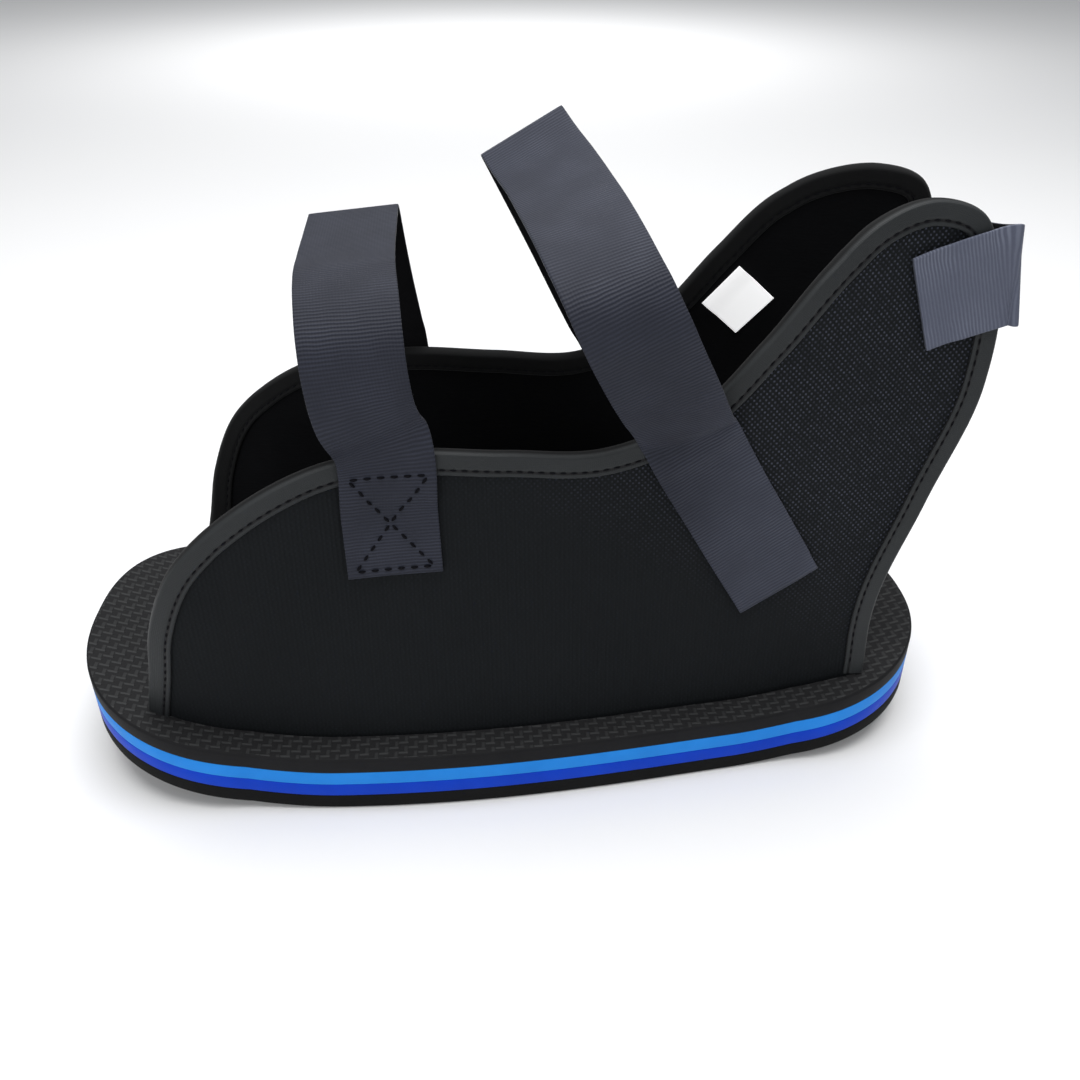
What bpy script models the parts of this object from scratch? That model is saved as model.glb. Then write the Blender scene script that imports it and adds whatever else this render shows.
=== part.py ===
# Cast shoe for a bandaged or plastered foot: a rocker sole of four foam sheets, a canvas sling
# open at toe and heel, taped edges and three webbing straps. Worn on either foot.
# Metres, +Z up, toe towards -X, heel towards +X, the wearer's left side towards -Y.
import bpy
import bmesh
import math
import numpy as np

# Sole, seen from above
SOLE_LENGTH = 0.300
BALL_WIDTH = 0.1265
HEEL_WIDTH = 0.1072
TOE_ROUND = 0.0605
HEEL_ROUND = 0.0530
SIDE_SWELL = 0.006
TOE_SQUARENESS = 2.46
HEEL_SQUARENESS = 2.32

# Sole, seen from the side
TOE_LIFT = 0.0190
HEEL_LIFT = 0.0145
FOREFOOT_FLAT = 0.060
HEEL_FLAT = 0.075
TOE_CURVE = 1.76
HEEL_CURVE = 1.61
OUTSOLE_THICK = 0.0056
ROYAL_THICK = 0.0047
LIGHT_THICK = 0.0049
TOP_THICK = 0.0056
SOLE_EDGE_ROUND = 0.0010
SHEET_STEP = 0.0003

# Canvas sling
SIDE_HEIGHT = 0.098
EAR_RISE = 0.061
WALL = 0.0030
SOLE_MARGIN = 0.0128
SLING_SHEET = 0.0012
HEEL_TANGENT = 0.046

# Edge tape, webbing and label
TAPE_WIDTH = 0.0075
TAPE_THICK = 0.0007
TAPE_CORNER = 0.0010
STRAP_WIDTH = 0.0295
STRAP_THICK = 0.0014
HEEL_STRAP_REACH = 0.0040
LABEL_SIDE = 0.018
LABEL_THICK = 0.0004

# Clearances
FIT = 0.0003
SLIT_FIT = 0.0005
TAPE_FIT = 0.0005
LAP_FIT = 0.0004
TAPE_FOOT = 0.0006
SEAT_RAMP = 0.006
SEAT_MARGIN = 0.004

# Mesh fineness
ROUND_STEPS = 11
WAIST_STEPS = 13
TIP_ANGLE = 0.06
TIP_CROWDING = 1.15
LEAST_CELL = 0.0012
EDGE_ROWS = 12
EDGE_COLUMNS = 32
ACROSS = 4
STRAP_STEP = 0.0085
HEEL_STRAP_STEP = 0.0070
SAMPLES = 400
PROBE = 0.0005
TINY = 1e-6
SMOOTH_ANGLE = math.radians(35)

# Colours
BLACK_RUBBER = (0.02, 0.02, 0.02)
ROYAL_BLUE = (0.005, 0.045, 0.50)
LIGHT_BLUE = (0.03, 0.26, 0.76)
CHARCOAL_FOAM = (0.03, 0.032, 0.034)
BLACK_CANVAS = (0.016, 0.018, 0.022)
GREY_TAPE = (0.045, 0.048, 0.052)
SLATE_WEBBING = (0.055, 0.060, 0.078)
WHITE = (0.85, 0.85, 0.85)

HALF = SOLE_LENGTH / 2
OUTSOLE_FLOOR = 0.0
ROYAL_FLOOR = OUTSOLE_FLOOR + OUTSOLE_THICK + FIT
LIGHT_FLOOR = ROYAL_FLOOR + ROYAL_THICK + FIT
TOP_FLOOR = LIGHT_FLOOR + LIGHT_THICK + FIT
SOLE_TOP = TOP_FLOOR + TOP_THICK
RECESS = SLING_SHEET + FIT
EDGE_INSET = TAPE_THICK + FIT + FIT
EAR_HEIGHT = SIDE_HEIGHT + EAR_RISE

# The sole's middle stands back from the origin by half of what the heel strap overhangs,
# so that the origin is under the middle of the whole shoe.
SOLE_SHIFT = -HEEL_STRAP_REACH / 2

# Outline of one side of the sling, from the toe corner over the instep and the ear to the heel
# corner. along: share of SOLE_LENGTH from the sole's middle. side: share of SIDE_HEIGHT.
# left ear, right ear: share of EAR_RISE on that side, added to the side's part. The right ear
# rises a little earlier. The outline stands on the sole's top at each place.
SIDE_OUTLINE = [
    # along, side, left ear, right ear
    (-0.407, 0.000, 0.00, 0.00),
    (-0.393, 0.190, 0.00, 0.00),
    (-0.378, 0.410, 0.00, 0.00),
    (-0.345, 0.648, 0.00, 0.00),
    (-0.284, 0.850, 0.00, 0.00),
    (-0.205, 0.985, 0.00, 0.00),
    (-0.111, 1.020, 0.00, 0.00),
    (-0.006, 1.002, 0.00, 0.00),
    (0.097, 0.992, 0.00, 0.01),
    (0.180, 1.000, 0.14, 0.23),
    (0.250, 1.000, 0.49, 0.63),
    (0.308, 1.000, 0.82, 0.91),
    (0.352, 1.000, 0.98, 1.00),
    (0.413, 1.000, 1.00, 0.99),
    (0.463, 1.000, 0.86, 0.85),
    (0.488, 1.000, 0.57, 0.56),
    (0.494, 0.985, 0.00, 0.00),
    (0.452, 0.620, 0.00, 0.00),
    (0.413, 0.280, 0.00, 0.00),
    (0.410, 0.000, 0.00, 0.00),
]
# Rows of SIDE_OUTLINE where the toe edge turns into the top edge, and where the ear is highest
SHOULDER_ROW = 4
EAR_TOP_ROW = 13

# How far a side leans in, as a share of its own rise above the sole
SIDE_LEAN = [
    # along, lean
    (-0.42, -0.145),
    (-0.30, -0.018),
    (-0.15, 0.116),
    (0.00, 0.124),
    (0.15, 0.097),
    (0.30, 0.068),
    (0.42, 0.104),
    (0.51, 0.104),
]

# Straps. along: share of SOLE_LENGTH. out: share of half the ball width, left side negative.
# up: share of EAR_HEIGHT above the sole's flat top. A row whose place is "left" or "right" lies
# on that side of the sling, so its out column is worked out, and a "fold" row is a sharp crease.
FRONT_STRAP = [
    # place, along, out, up
    ("left", -0.123, 0.0, 0.379),
    ("left", -0.125, 0.0, 0.500),
    ("left", -0.128, 0.0, 0.645),
    ("free", -0.138, -0.740, 0.710),
    ("free", -0.144, -0.735, 0.782),
    ("free", -0.147, -0.688, 0.851),
    ("free", -0.150, -0.553, 0.904),
    ("free", -0.154, -0.348, 0.930),
    ("free", -0.157, -0.079, 0.935),
    ("free", -0.158, 0.221, 0.944),
    ("fold", -0.158, 0.506, 0.957),
    ("free", -0.152, 0.580, 0.845),
    ("free", -0.145, 0.668, 0.738),
    ("right", -0.140, 0.0, 0.645),
    ("right", -0.132, 0.0, 0.450),
    ("right", -0.124, 0.0, 0.260),
]
INSTEP_STRAP = [
    # place, along, out, up
    ("left", 0.2917, 0.0, 0.275),
    ("left", 0.2450, 0.0, 0.422),
    ("left", 0.1823, 0.0, 0.622),
    ("free", 0.1530, -0.815, 0.731),
    ("free", 0.1317, -0.880, 0.807),
    ("free", 0.1120, -0.910, 0.882),
    ("free", 0.0960, -0.854, 0.945),
    ("free", 0.0820, -0.696, 0.992),
    ("free", 0.0707, -0.474, 1.024),
    ("free", 0.0600, -0.190, 1.046),
    ("free", 0.0480, 0.095, 1.068),
    ("free", 0.0360, 0.269, 1.089),
    ("fold", 0.0240, 0.403, 1.116),
    ("free", 0.0600, 0.520, 0.975),
    ("free", 0.1000, 0.640, 0.812),
    ("right", 0.1370, 0.0, 0.670),
    ("right", 0.1900, 0.0, 0.490),
    ("right", 0.2360, 0.0, 0.330),
]
HEEL_STRAP = [
    # place, along, out, up
    ("left", 0.406, 0.0, 0.855),
    ("left", 0.448, 0.0, 0.880),
    ("left", 0.480, 0.0, 0.897),
    ("left", 0.495, 0.0, 0.905),
    ("fold", 0.5055, -0.451, 0.909),
    ("free", 0.5065, -0.280, 0.890),
    ("free", 0.5080, -0.080, 0.873),
    ("free", 0.5090, 0.130, 0.862),
    ("free", 0.5090, 0.290, 0.857),
    ("free", 0.5065, 0.390, 0.855),
    ("right", 0.498, 0.0, 0.853),
    ("right", 0.482, 0.0, 0.852),
    ("right", 0.430, 0.0, 0.846),
    ("right", 0.370, 0.0, 0.840),
]

# Label on the inside of the right ear: along and up of its middle, and its turn in side view
LABEL_ALONG = 0.280
LABEL_UP = 0.745
LABEL_TURN = math.radians(-41)


def through(t, knots, values):
    """Smooth curve through table values: cubic pieces whose slopes blend the two neighbours'."""
    knots = np.asarray(knots, float)
    values = np.asarray(values, float)
    flat = values.ndim == 1
    if flat:
        values = values[:, None]
    t = np.clip(np.asarray(t, float), knots[0], knots[-1])
    step = np.diff(knots)[:, None]
    slope = np.diff(values, axis=0) / step
    share = step[1:] / (step[1:] + step[:-1])
    tangent = np.vstack([slope[:1], slope[:-1] * share + slope[1:] * (1 - share), slope[-1:]])
    k = np.clip(np.searchsorted(knots, t, side="right") - 1, 0, len(knots) - 2)
    h = step[k]
    s = (t - knots[k])[..., None] / h
    curve = (2 * s**3 - 3 * s**2 + 1) * values[k] + (s**3 - 2 * s**2 + s) * h * tangent[k]
    curve = curve + (3 * s**2 - 2 * s**3) * values[k + 1] + (s**3 - s**2) * h * tangent[k + 1]
    return curve[..., 0] if flat else curve


def chord_lengths(points):
    """Running length along a row of points."""
    steps = np.linalg.norm(np.diff(points, axis=0), axis=1)
    return np.concatenate([[0.0], np.cumsum(steps)])


def lift(x):
    """Height of the rocker above the floor at x, from the sole's middle."""
    toe = np.clip((-FOREFOOT_FLAT - x) / (HALF - FOREFOOT_FLAT), 0, None) ** TOE_CURVE
    heel = np.clip((x - HEEL_FLAT) / (HALF - HEEL_FLAT), 0, None) ** HEEL_CURVE
    return TOE_LIFT * toe + HEEL_LIFT * heel


def sole_top(x):
    """Height of the sole's walking surface at x."""
    return SOLE_TOP + lift(x)


def sole_edge(steps=ROUND_STEPS, waist=WAIST_STEPS):
    """Half outline of the sole from toe to heel: two superellipse ends and a swelling waist."""
    turn = np.linspace(0, 1, steps) ** TIP_CROWDING * (math.pi / 2 - TIP_ANGLE) + TIP_ANGLE
    ball = BALL_WIDTH / 2
    heel = HEEL_WIDTH / 2
    toe_x = -HALF + TOE_ROUND * (1 - np.cos(turn) ** (2 / TOE_SQUARENESS))
    toe_y = ball * np.sin(turn) ** (2 / TOE_SQUARENESS)
    heel_x = HALF - HEEL_ROUND * (1 - np.cos(turn[::-1]) ** (2 / HEEL_SQUARENESS))
    heel_y = heel * np.sin(turn[::-1]) ** (2 / HEEL_SQUARENESS)
    part = np.linspace(0, 1, waist + 1)[1:-1]
    waist_x = toe_x[-1] + (heel_x[0] - toe_x[-1]) * part
    blend = part * part * (3 - 2 * part)
    waist_y = ball + (heel - ball) * blend + SIDE_SWELL * np.sin(math.pi * part)
    return np.concatenate([toe_x, waist_x, heel_x]), np.concatenate([toe_y, waist_y, heel_y])


FINE_X, FINE_Y = sole_edge(SAMPLES, SAMPLES)


def sole_half(x):
    """Half width of the sole at x."""
    return np.interp(x, FINE_X, FINE_Y)


def wall_out(x, z):
    """Distance of the middle of a sling wall from the shoe's centre plane at x and height z."""
    lean_table = np.array(SIDE_LEAN)
    rise = np.clip(z - sole_top(x), 0, None)
    turn = HALF - HEEL_TANGENT
    slope = (sole_half(turn) - sole_half(turn - WALL)) / WALL
    foot = sole_half(np.minimum(x, turn)) + slope * np.clip(x - turn, 0, None) - SOLE_MARGIN
    lean = through(x / SOLE_LENGTH, lean_table[:, 0], lean_table[:, 1])
    return foot - lean * rise


def on_wall(x, z, side, depth):
    """Points at depth (outwards positive) from the middle of the wall on side -1 or +1."""
    x = np.asarray(x, float)
    z = np.asarray(z, float)
    along = (wall_out(x + PROBE, z) - wall_out(x - PROBE, z)) / (2 * PROBE)
    up = (wall_out(x, z + PROBE) - wall_out(x, z - PROBE)) / (2 * PROBE)
    size = np.sqrt(1 + along**2 + up**2)
    out = wall_out(x, z) + depth / size
    return np.stack([x - depth * along / size, side * out, z - depth * up / size], axis=-1)


def side_knots(side):
    """Corner points of one side's outline in side view, and their running length."""
    table = np.array(SIDE_OUTLINE)
    ear = table[:, 2] if side < 0 else table[:, 3]
    x = table[:, 0] * SOLE_LENGTH
    z = sole_top(x) + table[:, 1] * SIDE_HEIGHT + ear * EAR_RISE
    points = np.stack([x, z], axis=-1)
    return points, chord_lengths(points)


def side_outline(s, side, inset=0.0):
    """Point of one side's outline at running length s, moved inwards by inset in side view."""
    points, knots = side_knots(side)
    here = through(s, knots, points)
    ahead = through(np.minimum(s + PROBE, knots[-1]), knots, points)
    behind = through(np.maximum(s - PROBE, 0), knots, points)
    run = ahead - behind
    run = run / np.linalg.norm(run, axis=-1, keepdims=True)
    inwards = np.stack([run[..., 1], -run[..., 0]], axis=-1)
    return here + inwards * inset


def edge_stations(side):
    """Running lengths along the outline that sling and tape share, toe corner to heel corner."""
    knots = side_knots(side)[1]
    shoulder = knots[SHOULDER_ROW]
    ear_top = knots[EAR_TOP_ROW]
    rising = np.linspace(0, shoulder, EDGE_ROWS + 1)
    over = np.linspace(shoulder, ear_top, EDGE_COLUMNS + 1)
    falling = np.linspace(ear_top, knots[-1], EDGE_ROWS + 1)
    return rising, over, falling


def add_piece(name, points, faces, colour, roughness):
    """Make one named solid from points and faces, with its own material."""
    points = np.asarray(points, float) + np.array([SOLE_SHIFT, 0, 0])
    mesh = bpy.data.meshes.new(name)
    mesh.from_pydata([tuple(p) for p in points], [], [tuple(int(i) for i in f) for f in faces])
    work = bmesh.new()
    work.from_mesh(mesh)
    bmesh.ops.recalc_face_normals(work, faces=work.faces)
    work.to_mesh(mesh)
    work.free()
    mesh.shade_smooth()
    mesh.set_sharp_from_angle(angle=SMOOTH_ANGLE)
    material = bpy.data.materials.new(name)
    material.use_nodes = True
    shader = material.node_tree.nodes["Principled BSDF"]
    shader.inputs["Base Color"].default_value = (*colour, 1.0)
    shader.inputs["Roughness"].default_value = roughness
    shader.inputs["Metallic"].default_value = 0.0
    mesh.materials.append(material)
    piece = bpy.data.objects.new(name, mesh)
    bpy.context.scene.collection.objects.link(piece)
    return piece


def grid_faces(index, flip=False):
    """Quads of a grid of point numbers."""
    a = index[:-1, :-1]
    b = index[1:, :-1]
    c = index[1:, 1:]
    d = index[:-1, 1:]
    quads = np.stack([a, b, c, d], axis=-1).reshape(-1, 4)
    return quads[:, ::-1].tolist() if flip else quads.tolist()


def slit_lines(x):
    """Half distances of the slit's two edges from the centre plane at x."""
    ends, level = slit_ends()
    fine = np.linspace(ends[0] - WALL, ends[1] + WALL, SAMPLES)
    outer = on_wall(fine, level(fine), 1, WALL / 2 + SLIT_FIT)
    inner = on_wall(fine, level(fine), 1, -WALL / 2 - SLIT_FIT)
    return np.interp(x, outer[:, 0], outer[:, 1]), np.interp(x, inner[:, 0], inner[:, 1])


def slit_ends():
    """Where the slits for the sling start and stop along the sole, and the height they pass."""
    def level(x):
        return sole_top(x) - TOP_THICK
    knots = side_knots(1)[1]
    corners = side_outline(np.array([0.0, knots[-1]]), 1, EDGE_INSET)[:, 0]
    reach = []
    for corner, way in zip(corners, (-1, 1)):
        faces = [on_wall(corner, level(corner), 1, depth)[0] for depth in (-WALL / 2, WALL / 2)]
        reach.append(way * max(way * face for face in faces) + way * SLIT_FIT)
    return reach, level


def sole_sheet(name, floor, levels, insets, colour, roughness, slits=False):
    """One foam sheet of the sole, in cells between cross lines and lines along the sole.

    levels are heights above the sheet's floor, insets how far its edge draws in at each. With
    slits, the sling's two walls pass through it and its bottom sheet lies in a recess below.
    """
    x, half = sole_edge()
    if slits:
        ends = slit_ends()[0]
        keep = np.min(np.abs(x[:, None] - np.array(ends)[None, :]), axis=1) > LEAST_CELL
        x = np.sort(np.concatenate([x[keep], ends]))
        half = sole_half(x)
    count = len(x)
    edge = np.stack([x, half], axis=-1)
    run = np.gradient(edge, axis=0)
    run[0] = (0, 1)
    run[-1] = (0, -1)
    run = run / np.linalg.norm(run, axis=1, keepdims=True)
    inwards = np.stack([run[:, 1], -run[:, 0]], axis=-1)
    if slits:
        outer, inner = slit_lines(np.clip(x, ends[0], ends[1]))
        at_end = sole_half(np.clip(x, ends[0], ends[1]))
        beyond = (x < ends[0]) | (x > ends[1])
        outer = np.where(beyond, outer * half / at_end, outer)
        inner = np.where(beyond, inner * half / at_end, inner)
        lines = np.stack([-half, -outer, -inner, inner, outer, half])
    else:
        lines = np.stack([-half, half])
    rows = len(lines)
    tiers = len(levels) - 1
    solid = np.ones((rows - 1, count - 1, tiers), bool)
    if slits:
        inside = (x[:-1] >= ends[0] - TINY) & (x[1:] <= ends[1] + TINY)
        solid[1, inside, :] = False
        solid[3, inside, :] = False
        solid[2, inside, 0] = False
    points = []
    known = {}

    def corner(row, column, level):
        key = (row, column, level)
        if key not in known:
            place = np.array([x[column], lines[row, column]])
            at_rim = row in (0, rows - 1)
            if at_rim:
                side = -1 if row == 0 else 1
                place = place + insets[level] * inwards[column] * np.array([1, side])
            elif column in (0, count - 1):
                place[0] += insets[level] * (1 if column == 0 else -1)
            known[key] = len(points)
            points.append((place[0], place[1], floor + levels[level] + lift(place[0])))
        return known[key]

    faces = []
    for row in range(rows - 1):
        for column in range(count - 1):
            for tier in range(tiers):
                if not solid[row, column, tier]:
                    continue
                around = [(row, column), (row, column + 1), (row + 1, column + 1), (row + 1, column)]
                if tier == tiers - 1 or not solid[row, column, tier + 1]:
                    faces.append([corner(r, c, tier + 1) for r, c in around])
                if tier == 0 or not solid[row, column, tier - 1]:
                    faces.append([corner(r, c, tier) for r, c in reversed(around)])
                beside = [(row - 1, column), (row, column + 1), (row + 1, column), (row, column - 1)]
                for turn, (r, c) in enumerate(beside):
                    inside_grid = 0 <= r < rows - 1 and 0 <= c < count - 1
                    if inside_grid and solid[r, c, tier]:
                        continue
                    p = around[turn]
                    q = around[(turn + 1) % 4]
                    faces.append([corner(*p, tier), corner(*q, tier),
                                  corner(*q, tier + 1), corner(*p, tier + 1)])
    return add_piece(name, points, faces, colour, roughness)


def side_grid(side):
    """Side-view points of a sling wall: a patch blended between its base and three edges."""
    rising, over, falling = edge_stations(side)
    left = side_outline(rising, side, EDGE_INSET)
    top = side_outline(over, side, EDGE_INSET)
    right = side_outline(falling, side, EDGE_INSET)[::-1]
    u = np.linspace(0, 1, EDGE_COLUMNS + 1)[:, None, None]
    v = np.linspace(0, 1, EDGE_ROWS + 1)[None, :, None]
    base_x = left[0, 0] + (right[0, 0] - left[0, 0]) * u[:, 0, 0]
    base = np.stack([base_x, sole_top(base_x)], axis=-1)
    left[0] = base[0]
    right[0] = base[-1]
    ruled = (1 - v) * base[:, None] + v * top[:, None]
    crossed = (1 - u) * left[None] + u * right[None]
    bottom_corners = (1 - u) * base[0] + u * base[-1]
    top_corners = (1 - u) * top[0] + u * top[-1]
    return ruled + crossed - (1 - v) * bottom_corners - v * top_corners


def sling():
    """The hollow upper: two walls on one thin bottom sheet, open at toe, heel and instep."""
    points = []
    index = {}
    start = 0
    for side in (-1, 1):
        patch = side_grid(side)
        columns, rows = patch.shape[:2]
        for face, depth in (("out", WALL / 2), ("in", -WALL / 2)):
            wall = on_wall(patch[..., 0], patch[..., 1], side, depth)
            foot = on_wall(patch[:, 0, 0], patch[:, 0, 1] - TOP_THICK, side, depth)
            level = TOP_FLOOR + (SLING_SHEET if face == "in" else 0.0)
            foot[:, 2] = level + lift(foot[:, 0])
            wall = np.concatenate([foot[:, None], wall], axis=1)
            numbers = np.arange(start, start + columns * (rows + 1))
            index[side, face] = numbers.reshape(columns, rows + 1)
            points.append(wall.reshape(-1, 3))
            start += columns * (rows + 1)
    faces = []
    for side in (-1, 1):
        outer = index[side, "out"]
        inner = index[side, "in"]
        faces += grid_faces(outer)
        faces += grid_faces(inner, flip=True)
        rim_out = np.concatenate([outer[0], outer[1:, -1], outer[-1, -2::-1]])
        rim_in = np.concatenate([inner[0], inner[1:, -1], inner[-1, -2::-1]])
        faces += grid_faces(np.stack([rim_out, rim_in]))
    for face in ("out", "in"):
        faces += grid_faces(np.stack([index[-1, face][:, 0], index[1, face][:, 0]]))
    for end in (0, -1):
        faces.append([index[-1, "out"][end, 0], index[-1, "in"][end, 0],
                      index[1, "in"][end, 0], index[1, "out"][end, 0]])
    return add_piece("upper_sling", np.concatenate(points), faces, BLACK_CANVAS, 0.85)


def edge_tape(name, side):
    """Folded tape round a wall's free edge: a channel swept along the side outline."""
    rising, over, falling = edge_stations(side)
    stations = np.concatenate([rising, over[1:], falling[1:]])
    stations[0] += TAPE_FOOT
    stations[-1] -= TAPE_FOOT
    slot = WALL / 2 + TAPE_FIT
    skin = slot + TAPE_THICK
    crown = skin - TAPE_CORNER
    outer = [(skin, TAPE_WIDTH), (skin, TAPE_CORNER), (crown, 0.0)]
    inner = [(slot, TAPE_WIDTH), (slot, TAPE_WIDTH / 2), (slot, EDGE_INSET - FIT)]
    outer = outer + [(-depth, inset) for depth, inset in reversed(outer)]
    inner = inner + [(-depth, inset) for depth, inset in reversed(inner)]
    section = outer + inner[::-1]
    rings = []
    for depth, inset in section:
        flat = side_outline(stations, side, inset)
        rings.append(on_wall(flat[:, 0], flat[:, 1], side, depth))
    points = np.stack(rings, axis=1)
    stations_count, around = points.shape[:2]
    index = np.arange(stations_count * around).reshape(stations_count, around)
    faces = grid_faces(np.concatenate([index, index[:, :1]], axis=1))
    for end in (0, -1):
        ring = index[end]
        half = around // 2
        for k in range(half - 1):
            faces.append([ring[k], ring[k + 1], ring[around - 2 - k], ring[around - 1 - k]])
    return add_piece(name, points.reshape(-1, 3), faces, GREY_TAPE, 0.6)


def seat(x, z, side, thick):
    """Depth of a strip's middle where it lies on the canvas, or on the tape near the edge."""
    knots = side_knots(side)[1]
    edge = side_outline(np.linspace(0, knots[-1], SAMPLES), side)
    gap = np.min(np.hypot(x[..., None] - edge[:, 0], z[..., None] - edge[:, 1]), axis=-1)
    climb = np.clip((TAPE_WIDTH + SEAT_MARGIN + SEAT_RAMP - gap) / SEAT_RAMP, 0, 1)
    climb = climb * climb * (3 - 2 * climb)
    return WALL / 2 + LAP_FIT + thick / 2 + (TAPE_FIT + TAPE_THICK) * climb


def strap_rows(table, across_way):
    """Middle line of a strap as points, each row's crosswise direction and side, and its fold.

    A row on the sling runs across along the wall, and so does the free row next to it. The fold
    row runs across along its crease, square to the strap's way on both sides of it. The rows
    between turn evenly from one to the other.
    """
    points = []
    sides = []
    ways = []
    for place, along, out, up in table:
        x = along * SOLE_LENGTH
        z = SOLE_TOP + up * EAR_HEIGHT
        side = {"left": -1, "right": 1}.get(place, 0)
        if side:
            depth = seat(np.array(x), np.array(z), side, STRAP_THICK)
            points.append(on_wall(x, z, side, depth))
            ends = [on_wall(x + k * across_way[0], z + k * across_way[2], side, WALL)
                    for k in (-STRAP_WIDTH / 2, STRAP_WIDTH / 2)]
            ways.append((ends[1] - ends[0]) / STRAP_WIDTH)
        else:
            points.append(np.array([x, out * BALL_WIDTH / 2, z]))
            ways.append(across_way)
        sides.append(side)
    for k in range(1, len(sides) - 1):
        if sides[k] == 0:
            for beside in (k - 1, k + 1):
                if sides[beside]:
                    ways[k] = ways[beside]
    fold = [row[0] for row in table].index("fold")
    crease = np.cross(points[fold] - points[fold - 1], points[fold + 1] - points[fold])
    crease = crease / np.linalg.norm(crease)
    ways[fold] = crease * np.sign(crease @ across_way)
    order = np.arange(len(sides))
    set_rows = [k for k in order if k == fold or any(sides[max(k - 1, 0):k + 2])]
    known = np.array([ways[k] for k in set_rows])
    ways = np.stack([np.interp(order, set_rows, column) for column in known.T], axis=-1)
    return np.array(points), ways, sides, fold


def strap(name, table, across_way, spacing):
    """Webbing strap: a flat strip along a smooth line that creases sharply at its fold row."""
    rows, ways, sides, fold = strap_rows(table, across_way)
    parts = []
    turns = []
    lies = []
    for first, last in ((0, fold), (fold, len(rows) - 1)):
        knots = chord_lengths(rows[first:last + 1])
        row_sides = np.array(sides[first:last + 1], float)
        on_sling = knots[row_sides != 0]
        leaves = on_sling[-1] if row_sides[0] else on_sling[0]
        early = max(int(round(leaves / spacing)), 2)
        late = max(int(round((knots[-1] - leaves) / spacing)), 2)
        s = np.concatenate([np.linspace(0, leaves, early + 1),
                            np.linspace(leaves, knots[-1], late + 1)[1:]])
        line = through(s, knots, rows[first:last + 1])
        turn = through(s, knots, ways[first:last + 1])
        held = np.interp(s, knots, np.abs(row_sides)) > 1 - TINY
        side = np.sign(np.interp(s, knots, row_sides)) * held
        skip = 1 if parts else 0
        parts.append(line[skip:])
        turns.append(turn[skip:])
        lies.append(side[skip:])
    line = np.concatenate(parts)
    across = np.concatenate(turns)
    side = np.concatenate(lies)
    step = np.diff(line, axis=0)
    step = step / np.linalg.norm(step, axis=1, keepdims=True)
    before = np.concatenate([step[:1], step])
    after = np.concatenate([step, step[-1:]])
    way = before + after
    way = way / np.linalg.norm(way, axis=1, keepdims=True)
    across = across - way * np.sum(way * across, axis=1, keepdims=True)
    across = across / np.linalg.norm(across, axis=1, keepdims=True)
    shares = np.linspace(-0.5, 0.5, ACROSS + 1)
    middle = line[:, None] + across[:, None] * (shares * STRAP_WIDTH)[None, :, None]
    for k in np.nonzero(side)[0]:
        x = middle[k, :, 0]
        z = middle[k, :, 2]
        middle[k] = on_wall(x, z, side[k], seat(x, z, side[k], STRAP_THICK))
    return strip_solid(name, middle, STRAP_THICK, SLATE_WEBBING, 0.65)


def strip_solid(name, middle, thick, colour, roughness):
    """Closed strip of even thickness about a grid of middle points, mitred where it folds."""
    step = np.diff(middle, axis=0)
    step = step / np.linalg.norm(step, axis=-1, keepdims=True)
    before = np.concatenate([step[:1], step])
    after = np.concatenate([step, step[-1:]])
    way = before + after
    half_turn = np.linalg.norm(way, axis=-1, keepdims=True) / 2
    way = way / (2 * half_turn)
    across = np.gradient(middle, axis=1)
    normal = np.cross(across, way)
    normal = normal / np.linalg.norm(normal, axis=-1, keepdims=True) / half_turn
    upper = middle + normal * thick / 2
    lower = middle - normal * thick / 2
    count = middle.shape[0] * middle.shape[1]
    above = np.arange(count).reshape(middle.shape[:2])
    below = above + count
    faces = grid_faces(above)
    faces += grid_faces(below, flip=True)
    rim = np.concatenate([above[0], above[1:, -1], above[-1, -2::-1], above[-2:0:-1, 0]])
    under = rim + count
    faces += grid_faces(np.stack([np.append(rim, rim[0]), np.append(under, under[0])]))
    points = np.concatenate([upper.reshape(-1, 3), lower.reshape(-1, 3)])
    return add_piece(name, points, faces, colour, roughness)


def label():
    """Blank sewn label on the inside of the right ear, turned like a diamond."""
    reach = np.linspace(-0.5, 0.5, ACROSS + 1) * LABEL_SIDE
    a, b = np.meshgrid(reach, reach, indexing="ij")
    x = LABEL_ALONG * SOLE_LENGTH + a * math.cos(LABEL_TURN) - b * math.sin(LABEL_TURN)
    z = SOLE_TOP + LABEL_UP * EAR_HEIGHT + a * math.sin(LABEL_TURN) + b * math.cos(LABEL_TURN)
    middle = on_wall(x, z, 1, -seat(x, z, 1, LABEL_THICK))
    return strip_solid("blank_label", middle, LABEL_THICK, WHITE, 0.7)


for old in list(bpy.data.objects):
    bpy.data.objects.remove(old, do_unlink=True)

sole_sheet("outsole", OUTSOLE_FLOOR, [0, SOLE_EDGE_ROUND, OUTSOLE_THICK],
           [SOLE_EDGE_ROUND, 0, 0], BLACK_RUBBER, 0.8)
sole_sheet("midsole_royal_blue", ROYAL_FLOOR, [0, ROYAL_THICK],
           [SHEET_STEP, SHEET_STEP], ROYAL_BLUE, 0.5)
sole_sheet("midsole_light_blue", LIGHT_FLOOR, [0, LIGHT_THICK],
           [SHEET_STEP, SHEET_STEP], LIGHT_BLUE, 0.5)
sole_sheet("footbed", TOP_FLOOR, [0, RECESS, TOP_THICK - SOLE_EDGE_ROUND, TOP_THICK],
           [0, 0, 0, SOLE_EDGE_ROUND], CHARCOAL_FOAM, 0.8, slits=True)
sling()
edge_tape("binding_left", -1)
edge_tape("binding_right", 1)
strap("front_strap", FRONT_STRAP, np.array([1.0, 0.0, 0.0]), STRAP_STEP)
strap("instep_strap", INSTEP_STRAP, np.array([1.0, 0.0, 0.0]), STRAP_STEP)
strap("heel_strap", HEEL_STRAP, np.array([0.0, 0.0, 1.0]), HEEL_STRAP_STEP)
label()
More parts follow.
